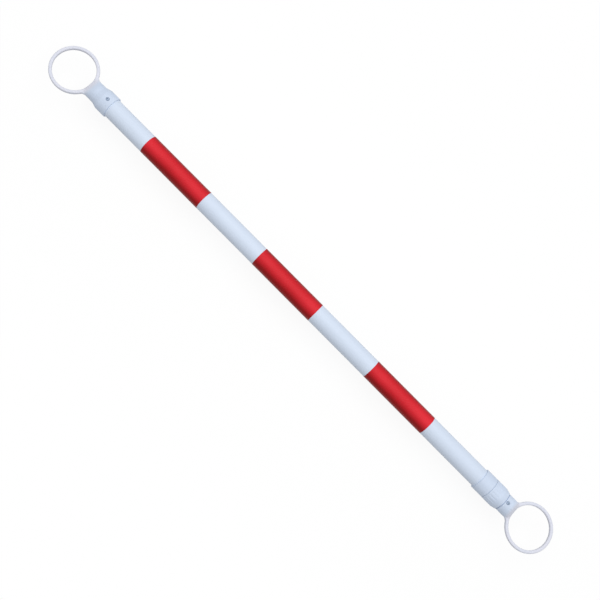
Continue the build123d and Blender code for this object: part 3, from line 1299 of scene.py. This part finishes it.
@dataclass
class RingScrew:
    """A pan head screw along Z, with a tapered cross recess.

    Its place and its main sizes are read from the CAD node.

    Attributes:
        name: The piece's name.
        node: The CAD node.
        body: The body that it rides on.
        gap: The gap round the shank in its hole.
        pocket_gap: The gap round the head in its pocket.
        half_window: Half the length of a moulding's wall that is given over to the hole.
        edge: The rounding of the head's edge.
        crown: How much lower the head's shoulder is than its middle.
        arm: Half the width of the recess's arms.
        arm_side: Where the slope of an arm's side starts and ends, from that half width.
        span: How far the arms reach from the middle.
        end_slope: The length of the slope at an arm's end.
        depth: The recess's depth in the middle.
        rise: The share of that depth that an arm has lost at its end.
        top_rows: Rows over the head's top.
        edge_rows: Rows over its edge.
        columns: Columns round the screw.
        x: The place along the pole.
        head: The head's radius.
        top: The height of the head's top.
        seat: The height of its underside.
        shank: The shank's radius.
        shoulder: The height at which the point starts.
        point: The radius of the point's end.
        tip: The height of that end.
    """

    name: str
    node: str
    body: Body
    gap: float = 0.1
    pocket_gap: float = 0.35
    half_window: float = 4.1
    edge: float = 1.0
    crown: float = 0.25
    arm: float = 0.42
    arm_side: Span = (-0.06, 0.08)
    span: float = 1.8
    end_slope: float = 0.25
    depth: float = 1.1
    rise: float = 0.5
    top_rows: int = 30
    edge_rows: int = 7
    columns: int = 96
    x: float = measured()
    head: float = measured()
    top: float = measured()
    seat: float = measured()
    shank: float = measured()
    shoulder: float = measured()
    point: float = measured()
    tip: float = measured()

    def __post_init__(self) -> None:
        """Reads the screw's place, head, seat, shank and point from the CAD node."""
        gauge = Gauge(self.node)
        self.x = sum(gauge.span()) / 2
        reach = np.hypot(gauge.x - self.x, gauge.y)
        self.head = float(reach.max())
        self.top = float(gauge.z.max())
        self.seat = float(gauge.z[reach > self.head - CLEAR].min())
        self.shank = float(reach[gauge.z < self.seat - CLEAR].max())
        on_shank = (reach > self.shank - NEAR) & (gauge.z < self.seat)
        self.shoulder = float(gauge.z[on_shank].min())
        self.tip = float(gauge.z.min())
        self.point = float(reach[gauge.z < self.tip + NEAR].max())

    def tube_hole(self) -> Hole:
        """The hole that the screw needs in a tube."""
        return Hole(self.x, self.shank + self.gap, TUBE_WINDOW)

    def pocket_hole(self) -> Hole:
        """The hole, with a pocket for the head, that the screw needs in its moulding."""
        pocket = self.head + self.pocket_gap
        return Hole(self.x, self.shank + self.gap, self.half_window, pocket=pocket, floor=self.seat)

    def recess(self, reach: np.ndarray, turn: np.ndarray) -> np.ndarray:
        """The depth of the cross recess.

        Each arm is a groove with sloped sides and ends. At a distance d from the middle it is
        depth (1 - rise d / span) deep, and the deeper of the two arms counts.

        Args:
            reach: Distance from the screw's axis.
            turn: Angle round it.

        Returns:
            The depth at each point.
        """
        first, second = np.abs(reach * np.cos(turn)), np.abs(reach * np.sin(turn))
        side_start, side_end = (self.arm + slope for slope in self.arm_side)
        arms = [
            (1.0 - smooth_step(across, side_start, side_end))
            * (1.0 - smooth_step(along, self.span - self.end_slope, self.span))
            * (1.0 - self.rise * along / self.span)
            for along, across in ((first, second), (second, first))
        ]
        return self.depth * np.maximum(*arms)

    def pieces(self) -> list[Piece]:
        """The screw, as an outline turned about its own axis with the recess let into the head.

        The head's top falls from its middle by crown (r / head)^2 and ends in a rounded edge.

        Returns:
            One piece.
        """
        flat = np.linspace(0.0, self.head - self.edge, self.top_rows)
        bend = np.linspace(0.0, math.pi / 2, self.edge_rows + 1)[1:]
        over = np.concatenate([flat, self.head - self.edge + self.edge * np.sin(bend)])
        fall = self.crown * (over / self.head) ** 2
        fall[len(flat) :] += self.edge * (1.0 - np.cos(bend))
        under = np.array([
            (self.head, self.seat),
            (self.shank, self.seat),
            (self.shank, self.shoulder),
            (self.point, self.tip),
            (0.0, self.tip),
        ])
        turn = np.linspace(0.0, 2.0 * math.pi, self.columns, endpoint=False)
        reach = np.concatenate([over, under[:, 0]])[:, None]
        height = np.repeat(np.concatenate([self.top - fall, under[:, 1]])[:, None], self.columns, axis=1)
        height[: len(over)] -= self.recess(over[:, None], turn)
        grid = np.stack([self.x + reach * np.cos(turn), reach * np.sin(turn), height], axis=-1)
        return [Piece(self.name, [Patch(grid)], self.body, self.node, STEEL)]


@dataclass
class RingEnd:
    """A ring moulding: a flat ring, the neck that rises from it, and a socket and spigot for a tube's end.

    Places are measured from the ring's centre towards the tube. The main sizes are read from the CAD node.

    Attributes:
        name: The piece's name.
        node: The CAD node.
        body: The body that it rides on.
        centre: The ring's centre along the pole.
        facing: Which way the neck points.
        screw: The screw in the socket.
        rim: The rounding of the ring's edges.
        web: The radius of the hollow corners between ring and neck.
        root: The neck's height at the edge of the ring's hole.
        fill: The softness of the valley between ring and neck.
        fade: Where the flat plate starts to fade into the neck and is gone, in lengths of the neck.
        cone: The length of the cone between neck and collar.
        cone_round: The rounding of the cone's ends.
        mouth_round: The rounding of the socket's mouth.
        chamfer: The chamfer of the spigot's end.
        seam: The parting line's height.
        seam_side: The angle from the top, in degrees, at which the line's ridge starts.
        seam_full: The half height of the ring's edge from which the line has its full height.
        levels: The heights of the rows of the ring's outer edge, in halves of its height.
        side_steps: Steps along the neck's side.
        hollow_steps: Steps round a hollow corner.
        ring_steps: Steps round half the ring.
        rim_steps: Steps over a rounded edge.
        top_steps: Steps from one rounded edge to the other.
        bore: The radius of the ring's hole.
        ring: The ring's outer radius.
        plate: Half the ring's height.
        neck: The neck's radius.
        neck_start: Where the neck is round.
        collar: The radius of the collar, or of the neck where there is none.
        cone_end: Where the cone between neck and collar ends.
        socket: The socket's radius.
        seat: Where the tube's end stands.
        mouth: Where the socket ends.
        spigot: The spigot's radius.
        spigot_end: Where the spigot ends.
        core: The radius of the spigot's bore.
        quarter: The columns of a quarter turn, with one beside the parting line.
    """

    name: str
    node: str
    body: Body
    centre: float
    facing: Facing
    screw: RingScrew
    rim: float = 2.4
    web: float = 12.0
    root: float = 7.0
    fill: float = 3.0
    fade: Span = (0.15, 0.95)
    cone: float = 11.0
    cone_round: float = 4.0
    mouth_round: float = 0.8
    chamfer: float = 1.0
    seam: float = 0.12
    seam_side: float = 89.4
    seam_full: float = 1.0
    levels: tuple[float, ...] = (1.0, 0.5, 0.12, 0.0, -0.12, -0.5, -1.0)
    side_steps: int = 7
    hollow_steps: int = 14
    ring_steps: int = 80
    rim_steps: int = 8
    top_steps: int = 17
    bore: float = measured()
    ring: float = measured()
    plate: float = measured()
    neck: float = measured()
    neck_start: float = measured()
    collar: float = measured()
    cone_end: float = measured()
    socket: float = measured()
    seat: float = measured()
    mouth: float = measured()
    spigot: float = measured()
    spigot_end: float = measured()
    core: float = measured()
    quarter: np.ndarray = measured()

    def __post_init__(self) -> None:
        """Reads the moulding's radii and places from the CAD node."""
        gauge = Gauge(self.node, self.centre, self.facing)
        self.quarter = quarter_angles([self.seam_side])
        self.bore = RING_HOLE
        self.ring = float(-gauge.x.min())
        self.plate = float(np.abs(gauge.z[gauge.x < 0.0]).max())
        self.spigot_end = gauge.span()[1]
        self.core = gauge.radii_at(self.spigot_end)[0]
        self.neck_start = gauge.first_circle(self.core)
        self.neck = gauge.radii_at(self.neck_start)[1]
        self.collar = gauge.radii(self.neck_start + NEAR)[1]
        # The mouth's face starts one rounding below the collar's radius
        self.mouth = gauge.span(self.collar - 1.5 * self.mouth_round)[1]
        self.socket = gauge.radii_at(self.mouth)[0]
        self.seat = gauge.first_circle(self.socket)
        self.spigot = gauge.radii(self.mouth + CLEAR)[1]
        tangent = self.cone_round * math.tan(0.5 * math.atan2(self.collar - self.neck, self.cone))
        self.cone_end = gauge.first_circle(self.collar) - tangent

    @property
    def hub(self) -> np.ndarray:
        """The middle of a hollow corner in plan, which is a web's radius away from both neck and ring."""
        across = self.neck + self.web
        return np.array([math.sqrt((self.ring + self.web) ** 2 - across**2), across])

    def plan(self) -> tuple[np.ndarray, np.ndarray]:
        """Matching points round the hole's edge and round the moulding's outline, seen along Z.

        Half the outline is, in turn, the neck's end at (neck_start, neck sin a), the neck's side at y = neck,
        a hollow arc of the web's radius about the hub, and the ring's circle.

        Returns:
            The points on the hole's edge and on the outline, each of shape (columns, 2).
        """
        hub_x, hub_y = self.hub
        end_x = np.full_like(self.quarter, self.neck_start)
        end = np.stack([end_x, self.neck * np.sin(self.quarter)], axis=1)
        side_x = np.linspace(self.neck_start, hub_x, self.side_steps + 1)[1:]
        side = np.stack([side_x, np.full_like(side_x, self.neck)], axis=1)
        sweep = np.linspace(-math.pi / 2, math.atan2(-hub_y, -hub_x), self.hollow_steps + 1)[1:]
        turn = np.linspace(math.atan2(hub_y, hub_x), math.pi, self.ring_steps + 1)[1:]
        outline = np.concatenate([end, side, self.hub + self.web * unit(sweep), self.ring * unit(turn)])
        bearing = np.arctan2(outline[:, 1], outline[:, 0])
        widest = math.atan2(self.neck, self.neck_start)
        bearing[: len(end)] = self.quarter / (math.pi / 2) * widest
        hole = self.bore * unit(bearing)
        mirror = np.array([1.0, -1.0])
        return tuple(np.concatenate([half, half[-2:0:-1] * mirror]) for half in (hole, outline))

    def drop(self, inset: np.ndarray) -> np.ndarray:
        """How far a rounded edge falls at an inset from it: rim - sqrt(rim^2 - (rim - inset)^2)."""
        short = np.clip(self.rim - inset, 0.0, self.rim)
        return self.rim - np.sqrt(self.rim**2 - short**2)

    def inset(self, x: np.ndarray, y: np.ndarray) -> np.ndarray:
        """The distance of a point in plan from the outline of ring, hollow corner and neck.

        It is ring - r on the ring, at r from its centre, d - web in a hollow corner, at d from the hub, and
        neck - |y| beside the neck.

        Args:
            x: Places along the moulding.
            y: Places across it.

        Returns:
            The distances.
        """
        hub_x, hub_y = self.hub
        across = np.abs(y)
        on_ring = np.arctan2(across, x) > math.atan2(hub_y, hub_x)
        beside = np.where(x < hub_x, np.hypot(x - hub_x, across - hub_y) - self.web, self.neck - across)
        return np.maximum(np.where(on_ring, self.ring - np.hypot(x, y), beside), 0.0)

    def height(self, x: np.ndarray, y: np.ndarray) -> np.ndarray:
        """Half the moulding's height over a point in plan.

        The plate is level with rounded edges and fades out along the neck. The neck is a dome
        c sqrt(1 - (y / neck)^2) whose crown c rises from root at the hole by a quarter sine to neck at the
        neck's end. The larger counts, with a soft valley between them, less the rounding of the hole's edge.

        Args:
            x: Places along the moulding.
            y: Places across it.

        Returns:
            The heights.
        """
        run = (x - self.bore) / (self.neck_start - self.bore)
        crown = self.root + (self.neck - self.root) * np.sin(np.clip(run, -1.0, 1.0) * math.pi / 2)
        dome = crown * np.sqrt(np.clip(1.0 - (y / self.neck) ** 2, 0.0, 1.0))
        outside, inside = self.inset(x, y), np.maximum(np.hypot(x, y) - self.bore, 0.0)
        left = 1.0 - smooth_step(run, *self.fade)
        plate = (self.plate - self.drop(outside)) * left
        reach = self.fill * smooth_step(np.minimum(outside, inside), 0.0, self.rim) * left
        return np.maximum(smooth_most(plate, dome, reach) - self.drop(inside), 0.0)

    def ring_patches(self) -> list[Patch]:
        """The ring and the rising neck: a top, its mirror image, the hole's wall and the outer edge.

        Columns run in straight lines in plan from the hole's edge to the outline, with rows close together
        over the rounded edges. The outer edge has a parting line half way up.

        Returns:
            The patches.
        """
        hole, outline = self.plan()
        length = np.linalg.norm(outline - hole, axis=1)
        outward = (outline - hole) / length[:, None]
        bend = self.rim * (1.0 - np.cos(np.linspace(0.0, math.pi / 2, self.rim_steps + 1)))
        near = np.repeat(bend[:, None], len(length), axis=1)
        share = np.linspace(0.0, 1.0, self.top_steps + 1)[1:-1, None]
        rows = np.concatenate([near, share * (length - 2 * self.rim) + self.rim, length - near[::-1]])
        plan = hole + rows[..., None] * outward
        height = self.height(plan[..., 0], plan[..., 1])
        top, under = np.dstack([plan, height]), np.dstack([plan, -height])
        first = len(self.quarter) - 1
        cut = slice(first, len(length) - first + 1)
        levels = np.array(self.levels)[:, None]
        ridge = np.where(levels == 0.0, self.seam, 0.0) * smooth_step(height[-1, cut], 0.0, self.seam_full)
        edge = np.dstack([outline[cut] + ridge[..., None] * outward[cut], levels * height[-1, cut]])
        return [Patch(top), Patch(under), Patch(np.stack([top[0], under[0]])), Patch(edge, closed=False)]

    def corners(self) -> list[Corner]:
        """The outline of neck, collar, socket, spigot and core, from the neck's end to the core's closed end.

        Returns:
            The corners.
        """
        cone = [
            (self.cone_end - self.cone, self.neck, self.cone_round),
            (self.cone_end, self.collar, self.cone_round),
        ]
        return [
            (self.neck_start, self.neck),
            *(cone if self.collar - self.neck > CLEAR else []),
            (self.mouth, self.collar, self.mouth_round),
            (self.mouth, self.socket),
            (self.seat, self.socket),
            (self.seat, self.spigot),
            (self.spigot_end - self.chamfer, self.spigot),
            (self.spigot_end, self.spigot - self.chamfer),
            (self.spigot_end, self.core),
            (self.neck_start, self.core),
            (self.neck_start, 0.0),
        ]

    def pieces(self) -> list[Piece]:
        """The whole moulding, turned to face its tube and moved to its place.

        Returns:
            One piece.
        """
        sign = self.facing.value
        hole = self.screw.pocket_hole()
        hole = replace(hole, x=sign * (hole.x - self.centre))
        angles = full_angles(self.quarter)
        lathe = SeamedLathe(angles, [hole], self.seam, self.socket + CLEAR, self.neck_start + CLEAR)
        patches = self.ring_patches() + lathe.turn(self.corners())
        patches += lathe.bores()
        for patch in patches:
            patch.points = patch.points * np.array([sign, sign, 1.0]) + np.array([self.centre, 0.0, 0.0])
        return [Piece(self.name, patches, self.body, self.node, WHITE_MOULDING)]


@dataclass
class MouthCollar:
    """The collar glued over the outer tube's mouth, with the nose that carries the lock nut.

    Attributes:
        name: The piece's name.
        node: The CAD node.
        edge: The rounding of its outer edges.
        chamfer: The chamfer of the nose.
    """

    name: str = "mouth_collar_moulding"
    node: str = "mouth_collar"
    edge: float = 0.8
    chamfer: float = 0.6

    def pieces(self) -> list[Piece]:
        """The collar, as an outline turned about the pole.

        Returns:
            One piece.
        """
        gauge = Gauge(self.node)
        start, nose_end = gauge.span()
        bore, sleeve = gauge.radii()
        face = gauge.span_at(sleeve)[1] + self.edge
        socket = gauge.radii_at(start)[0]
        seat = gauge.span_at(socket)[1]
        nose = gauge.radii(face + NEAR)[1]
        corners = [
            (start, socket),
            (start, sleeve, self.edge),
            (face, sleeve, self.edge),
            (face, nose),
            (nose_end - self.chamfer, nose),
            (nose_end, nose - self.chamfer),
            (nose_end, bore),
            (seat, bore),
            (seat, socket),
            (start, socket),
        ]
        patches = Lathe(full_angles(quarter_angles())).turn(corners)
        return [Piece(self.name, patches, Body.OUTER_POLE, self.node, WHITE_MOULDING)]


@dataclass
class LockNut:
    """The twist lock: a nut with finger flutes and a tapered mouth, whose cone closes the collet.

    Attributes:
        name: The piece's name.
        node: The CAD node.
        edge: The rounding of its edges.
        taper_edge: The rounding where the taper starts.
        flutes: How many flutes it has.
        rod: The radius of a flute's section.
        depth: How deep the flutes are.
        soft: The softness of the flutes' edges.
        margin: The plain stretch beside the flutes.
        taper: The taper's length.
        lip: The wall at the mouth.
        columns: Columns to each flute.
        rows: Rows along the fluted wall.
    """

    name: str = "lock_nut_moulding"
    node: str = "lock_nut"
    edge: float = 0.8
    taper_edge: float = 2.0
    flutes: int = 20
    rod: float = 2.2
    depth: float = 0.55
    soft: float = 0.12
    margin: float = 3.0
    taper: float = 9.0
    lip: float = 2.9
    columns: int = 16
    rows: int = 40

    def pieces(self) -> list[Piece]:
        """The nut, as a fluted outline turned about the pole.

        Returns:
            One piece.
        """
        gauge = Gauge(self.node)
        start, end = gauge.span()
        mouth, sleeve = gauge.radii()
        bore = gauge.radii_at(start)[0]
        step = gauge.span_at(bore)[1]
        cone_wide = gauge.radii_at(step)[0]
        cone_end = gauge.span_at(mouth)[0]
        at_cone_end = (np.abs(gauge.x - cone_end) < NEAR) & (gauge.radius > mouth + NEAR)
        cone_narrow = float(gauge.radius[at_cone_end].min())
        taper_start = end - self.taper
        fluted = np.linspace(start + self.edge + SUPPORT, taper_start - self.taper_edge / 2, self.rows)
        corners = [
            (start, bore),
            (start, sleeve, self.edge),
            *((x, sleeve) for x in fluted),
            (taper_start, sleeve, self.taper_edge),
            (end, mouth + self.lip, self.edge),
            (end, mouth),
            (cone_end, mouth),
            (cone_end, cone_narrow),
            (step, cone_wide),
            (step, bore),
            (start, bore),
        ]
        ends = (start + self.margin + self.rod, taper_start - self.margin - self.rod)
        patches = FlutedLathe(self, sleeve, ends).turn(corners)
        return [Piece(self.name, patches, Body.LOCK_NUT, self.node, WHITE_MOULDING)]


class FlutedLathe(Lathe):
    """A lathe for the lock nut, with finger flutes let into its outer wall.

    A flute is a rod along the pole, with ball ends, whose axis is hub away from the pole's axis. At an angle
    d from it the wall is cut back to hub cos d - sqrt(rod^2 - e^2 - hub^2 sin^2 d), where e is how far the
    point lies beyond the rod's end.

    Attributes:
        nut: The nut, which has the flutes' number and sizes.
        wall: The outer wall's radius.
        ends: The places along the pole where the rods end.
    """

    def __init__(self, nut: LockNut, wall: float, ends: Span) -> None:
        """Sets the lathe up, with the same columns in each flute.

        Args:
            nut: The nut.
            wall: The outer wall's radius.
            ends: The places along the pole where the rods end.
        """
        count = nut.flutes * nut.columns
        super().__init__(np.arange(count) * (2.0 * math.pi / count))
        self.nut = nut
        self.wall = wall
        self.ends = ends

    def radii(self, run: np.ndarray, angles: np.ndarray) -> np.ndarray:
        """The run's radius, or less where a flute is cut.

        Args:
            run: The run's (x, radius) points.
            angles: The columns' angles.

        Returns:
            The distances from the axis.
        """
        hub = self.wall - self.nut.depth + self.nut.rod
        pitch = 2.0 * math.pi / self.nut.flutes
        away = (angles + pitch / 2) % pitch - pitch / 2
        beyond = np.maximum(np.maximum(self.ends[0] - run[:, 0], run[:, 0] - self.ends[1]), 0.0)[:, None]
        inside = self.nut.rod**2 - beyond**2 - (hub * np.sin(away)) ** 2
        cut = hub * np.cos(away) - np.sqrt(np.maximum(inside, 0.0))
        floor = np.where(inside > 0.0, cut, self.wall + CLEAR)
        radius = super().radii(run, angles)
        return np.where(radius > self.wall - CLEAR, -smooth_most(-radius, -floor, self.nut.soft), radius)


@dataclass
class HiddenParts:
    """The parts inside the pole, whose CAD shapes are right as they are.

    Attributes:
        finishes: What each CAD node is made of.
    """

    finishes: Mapping[str, Finish] = field(
        default_factory=lambda: {
            "clamp_collet": NATURAL_PLASTIC,
            "guide_bush": NATURAL_PLASTIC,
            "friction_ring": BLACK_RUBBER,
            "bush_pin": STEEL,
        }
    )

    def pin_hole(self) -> Hole:
        """The hole through both sides of the inner tube that the bush's pin needs."""
        low, high = Gauge("bush_pin").span()
        return Hole((low + high) / 2, (high - low) / 2 + PIN_GAP, TUBE_WINDOW, through=True)

    def dress(self) -> None:
        """Gives each part its material."""
        for node, finish in self.finishes.items():
            made = frame["nodes"][node]
            made.data.materials.clear()
            made.data.materials.append(finish.material())
            log.info("%s keeps its CAD shape, in %s", node, finish.name)


# The studio, and the order of work
@dataclass
class Studio:
    """The floor, the light and the camera.

    Attributes:
        pixel: Millimetres to a pixel at the pole's axis.
        picture: The picture's width in pixels.
        sensor: The width of the camera's sensor.
        clip: The nearest and the farthest that the camera sees.
        distance: The camera's distance from the axis.
        roll: How far the camera stands to the side of straight above, in degrees.
        tilt: How far it stands along the pole from square to it, towards the sliding ring, in degrees.
        slant: The pole's slant in the picture, in degrees below level.
        shift: Where the picture's middle lies from the pole's, along it and across it.
        key_height: The height of the large lamp.
        key_size: Its width.
        key_level: How brightly it lights a white surface below it.
        key_place: Where it hangs, from the pole's middle.
        fill_level: How brightly the room lights a white surface.
        floor_gap: How far below a ring's reach the floor lies.
        floor_half: Half the floor's width.
        floor_share: How much of the floor's white by the pole is its own. The rest is lit, and shows shadows.
        floor_reach: How far from the pole's middle, along it and across it, the floor is all white.
        floor_fade: The share of that reach at which the floor starts to whiten.
        floor_bounce: How much of the light the floor throws back.
    """

    pixel: float = 1.889
    picture: int = 600
    sensor: float = 36.0
    clip: Span = (10.0, 100000.0)
    distance: float = 1850.0
    roll: float = 15.5
    tilt: float = 0.5
    slant: float = 45.2
    shift: Span = (1.3, -3.6)
    key_height: float = 2200.0
    key_size: float = 2600.0
    key_level: float = 0.72
    key_place: Span = (-60.0, 600.0)
    fill_level: float = 0.57
    floor_gap: float = 0.5
    floor_half: float = 12000.0
    floor_share: float = 0.90
    floor_reach: Span = (3000.0, 450.0)
    floor_fade: float = 0.3
    floor_bounce: float = 0.45

    @property
    def middle(self) -> float:
        """The pole's middle along X."""
        return sum(RING_CENTRES) / len(RING_CENTRES) / MM

    def camera(self) -> None:
        """Sets the camera almost square to the pole, which slants across the picture.

        The lens is sensor distance / (pixel picture), which shows a pixel's length at the pole's axis as one.
        """
        roll, tilt, slant = (math.radians(value) for value in (self.roll, self.tilt, self.slant))
        pole = np.array([1.0, 0.0, 0.0])
        across = np.array([0.0, math.cos(roll), math.sin(roll)])
        above = np.array([0.0, -math.sin(roll), math.cos(roll)])
        along = math.cos(tilt) * pole - math.sin(tilt) * above
        towards = math.sin(tilt) * pole + math.cos(tilt) * above
        right = math.cos(slant) * along + math.sin(slant) * across
        up = -math.sin(slant) * along + math.cos(slant) * across
        place = pole * (self.middle + self.shift[0]) + across * self.shift[1] + towards * self.distance
        turn = np.eye(4)
        turn[:3, :] = np.column_stack([right, up, towards, place * MM])
        made = add_object("camera", bpy.data.cameras.new("camera"))
        made.data.sensor_width = self.sensor
        made.data.lens = self.sensor * self.distance / (self.pixel * self.picture)
        made.data.clip_start = self.clip[0] * MM
        made.data.clip_end = self.clip[1] * MM
        made.matrix_world = Matrix(turn.tolist())
        bpy.context.scene.camera = made

    def seen(self, board: Board) -> Reading:
        """Tells what is looked at from what only throws light back.

        Args:
            board: The board of the floor's material or of the room.

        Returns:
            1 where the camera, a reflection or a clear material looks, and 0 where light bounces.
        """
        path = board.node("ShaderNodeLightPath", {}, {})
        names = ("Is Camera Ray", "Is Glossy Ray", "Is Transmission Ray")
        camera, glossy, clear = (Reading(board, path.outputs[name]) for name in names)
        return camera.most(glossy).most(clear)

    def floor_material(self) -> bpy.types.Material:
        """A pale paint that is white to look at, and quieter in what it throws back.

        From below the floor is clear, so that it doesn't hide the pole's underside.

        Returns:
            The floor's material.
        """
        made = bpy.data.materials.new("pale_floor")
        board = Board(made)
        seen = self.seen(board)
        place = board.place()
        along = abs(board.part(place, "X") - self.middle * MM) / (self.floor_reach[0] * MM)
        across = abs(board.part(place, "Y")) / (self.floor_reach[1] * MM)
        far = along.most(across).step(self.floor_fade, 1.0)
        share = self.floor_share + (1.0 - self.floor_share) * far
        bounce = (self.floor_bounce, self.floor_bounce, self.floor_bounce, 1.0)
        matt = board.read("ShaderNodeBsdfDiffuse", 0, {}, {"Color": board.mix(seen, bounce, WHITE)})
        shine = board.read("ShaderNodeEmission", 0, {}, {"Color": WHITE, "Strength": 1.0})
        paint = board.read("ShaderNodeMixShader", 0, {}, {0: seen * share, 1: matt, 2: shine})
        clear = board.read("ShaderNodeBsdfTransparent", 0, {}, {})
        below = board.read("ShaderNodeNewGeometry", "Backfacing", {}, {})
        sides = board.read("ShaderNodeMixShader", 0, {}, {0: below, 1: paint, 2: clear})
        board.node("ShaderNodeOutputMaterial", {}, {"Surface": sides})
        return made

    def floor(self) -> None:
        """Lays the floor so low that a ring clears it as it turns."""
        low = -(RING_RADIUS + self.floor_gap) * MM
        half = self.floor_half * MM
        corners = [(x * half, y * half, low) for x, y in ((-1, -1), (1, -1), (1, 1), (-1, 1))]
        mesh = bpy.data.meshes.new("floor")
        mesh.from_pydata(corners, [], [(0, 1, 2, 3)])
        mesh.materials.append(self.floor_material())
        add_object("floor", mesh)

    def room(self) -> None:
        """Makes the room white to look at and an even weak light for the rest."""
        world = bpy.data.worlds.new("white_room")
        board = Board(world)
        strength = self.fill_level + (1.0 - self.fill_level) * self.seen(board)
        shine = board.read("ShaderNodeBackground", 0, {}, {"Color": WHITE, "Strength": strength})
        board.node("ShaderNodeOutputWorld", {}, {"Surface": shine})
        bpy.context.scene.world = world

    def lamp(self) -> None:
        """Hangs one large soft lamp over the pole.

        A lamp of power P lights a surface at a distance d below it to a level of about P / (pi^2 d^2).
        """
        light = bpy.data.lights.new("soft_lamp", "AREA")
        light.shape = "SQUARE"
        light.size = self.key_size * MM
        light.energy = self.key_level * math.pi**2 * (self.key_height * MM) ** 2
        made = add_object("soft_lamp", light)
        made.location = ((self.middle + self.key_place[0]) * MM, self.key_place[1] * MM, self.key_height * MM)
        made.visible_camera = False

    def build(self) -> None:
        """Sets the whole studio up."""
        self.camera()
        self.floor()
        self.room()
        self.lamp()
        bpy.context.scene.view_settings.view_transform = "Standard"


def main() -> None:
    """Builds the sub-assemblies in order, dresses the hidden parts and sets up the studio."""
    logging.basicConfig(level=logging.INFO, format="%(name)s: %(message)s")
    outer, inner = Body.OUTER_POLE, Body.INNER_POLE
    fixed_centre, sliding_centre = (centre / MM for centre in RING_CENTRES)
    fixed_screw = RingScrew("fixed_screw", "fixed_ring_screw", outer)
    sliding_screw = RingScrew("sliding_screw", "sliding_ring_screw", inner)
    hidden = HiddenParts()
    inner_holes = [hidden.pin_hole(), sliding_screw.tube_hole()]
    assemblies: Sequence[SubAssembly] = (
        Tube("white_outer_tube", "outer_tube", outer, [fixed_screw.tube_hole()]),
        RedBands(),
        RingEnd("fixed_ring_moulding", "fixed_ring_end", outer, fixed_centre, Facing.FORWARD, fixed_screw),
        fixed_screw,
        MouthCollar(),
        LockNut(),
        Tube("white_inner_tube", "inner_tube", inner, inner_holes),
        RingEnd(
            "sliding_ring_moulding", "sliding_ring_end", inner, sliding_centre, Facing.BACKWARD, sliding_screw
        ),
        sliding_screw,
    )
    for assembly in assemblies:
        for piece in assembly.pieces():
            made = piece.build()
            log.info("%s rides on %s with %d faces", made.name, piece.body.value, len(made.data.polygons))
    hidden.dress()
    Studio().build()


if __name__ == "__main__":
    main()
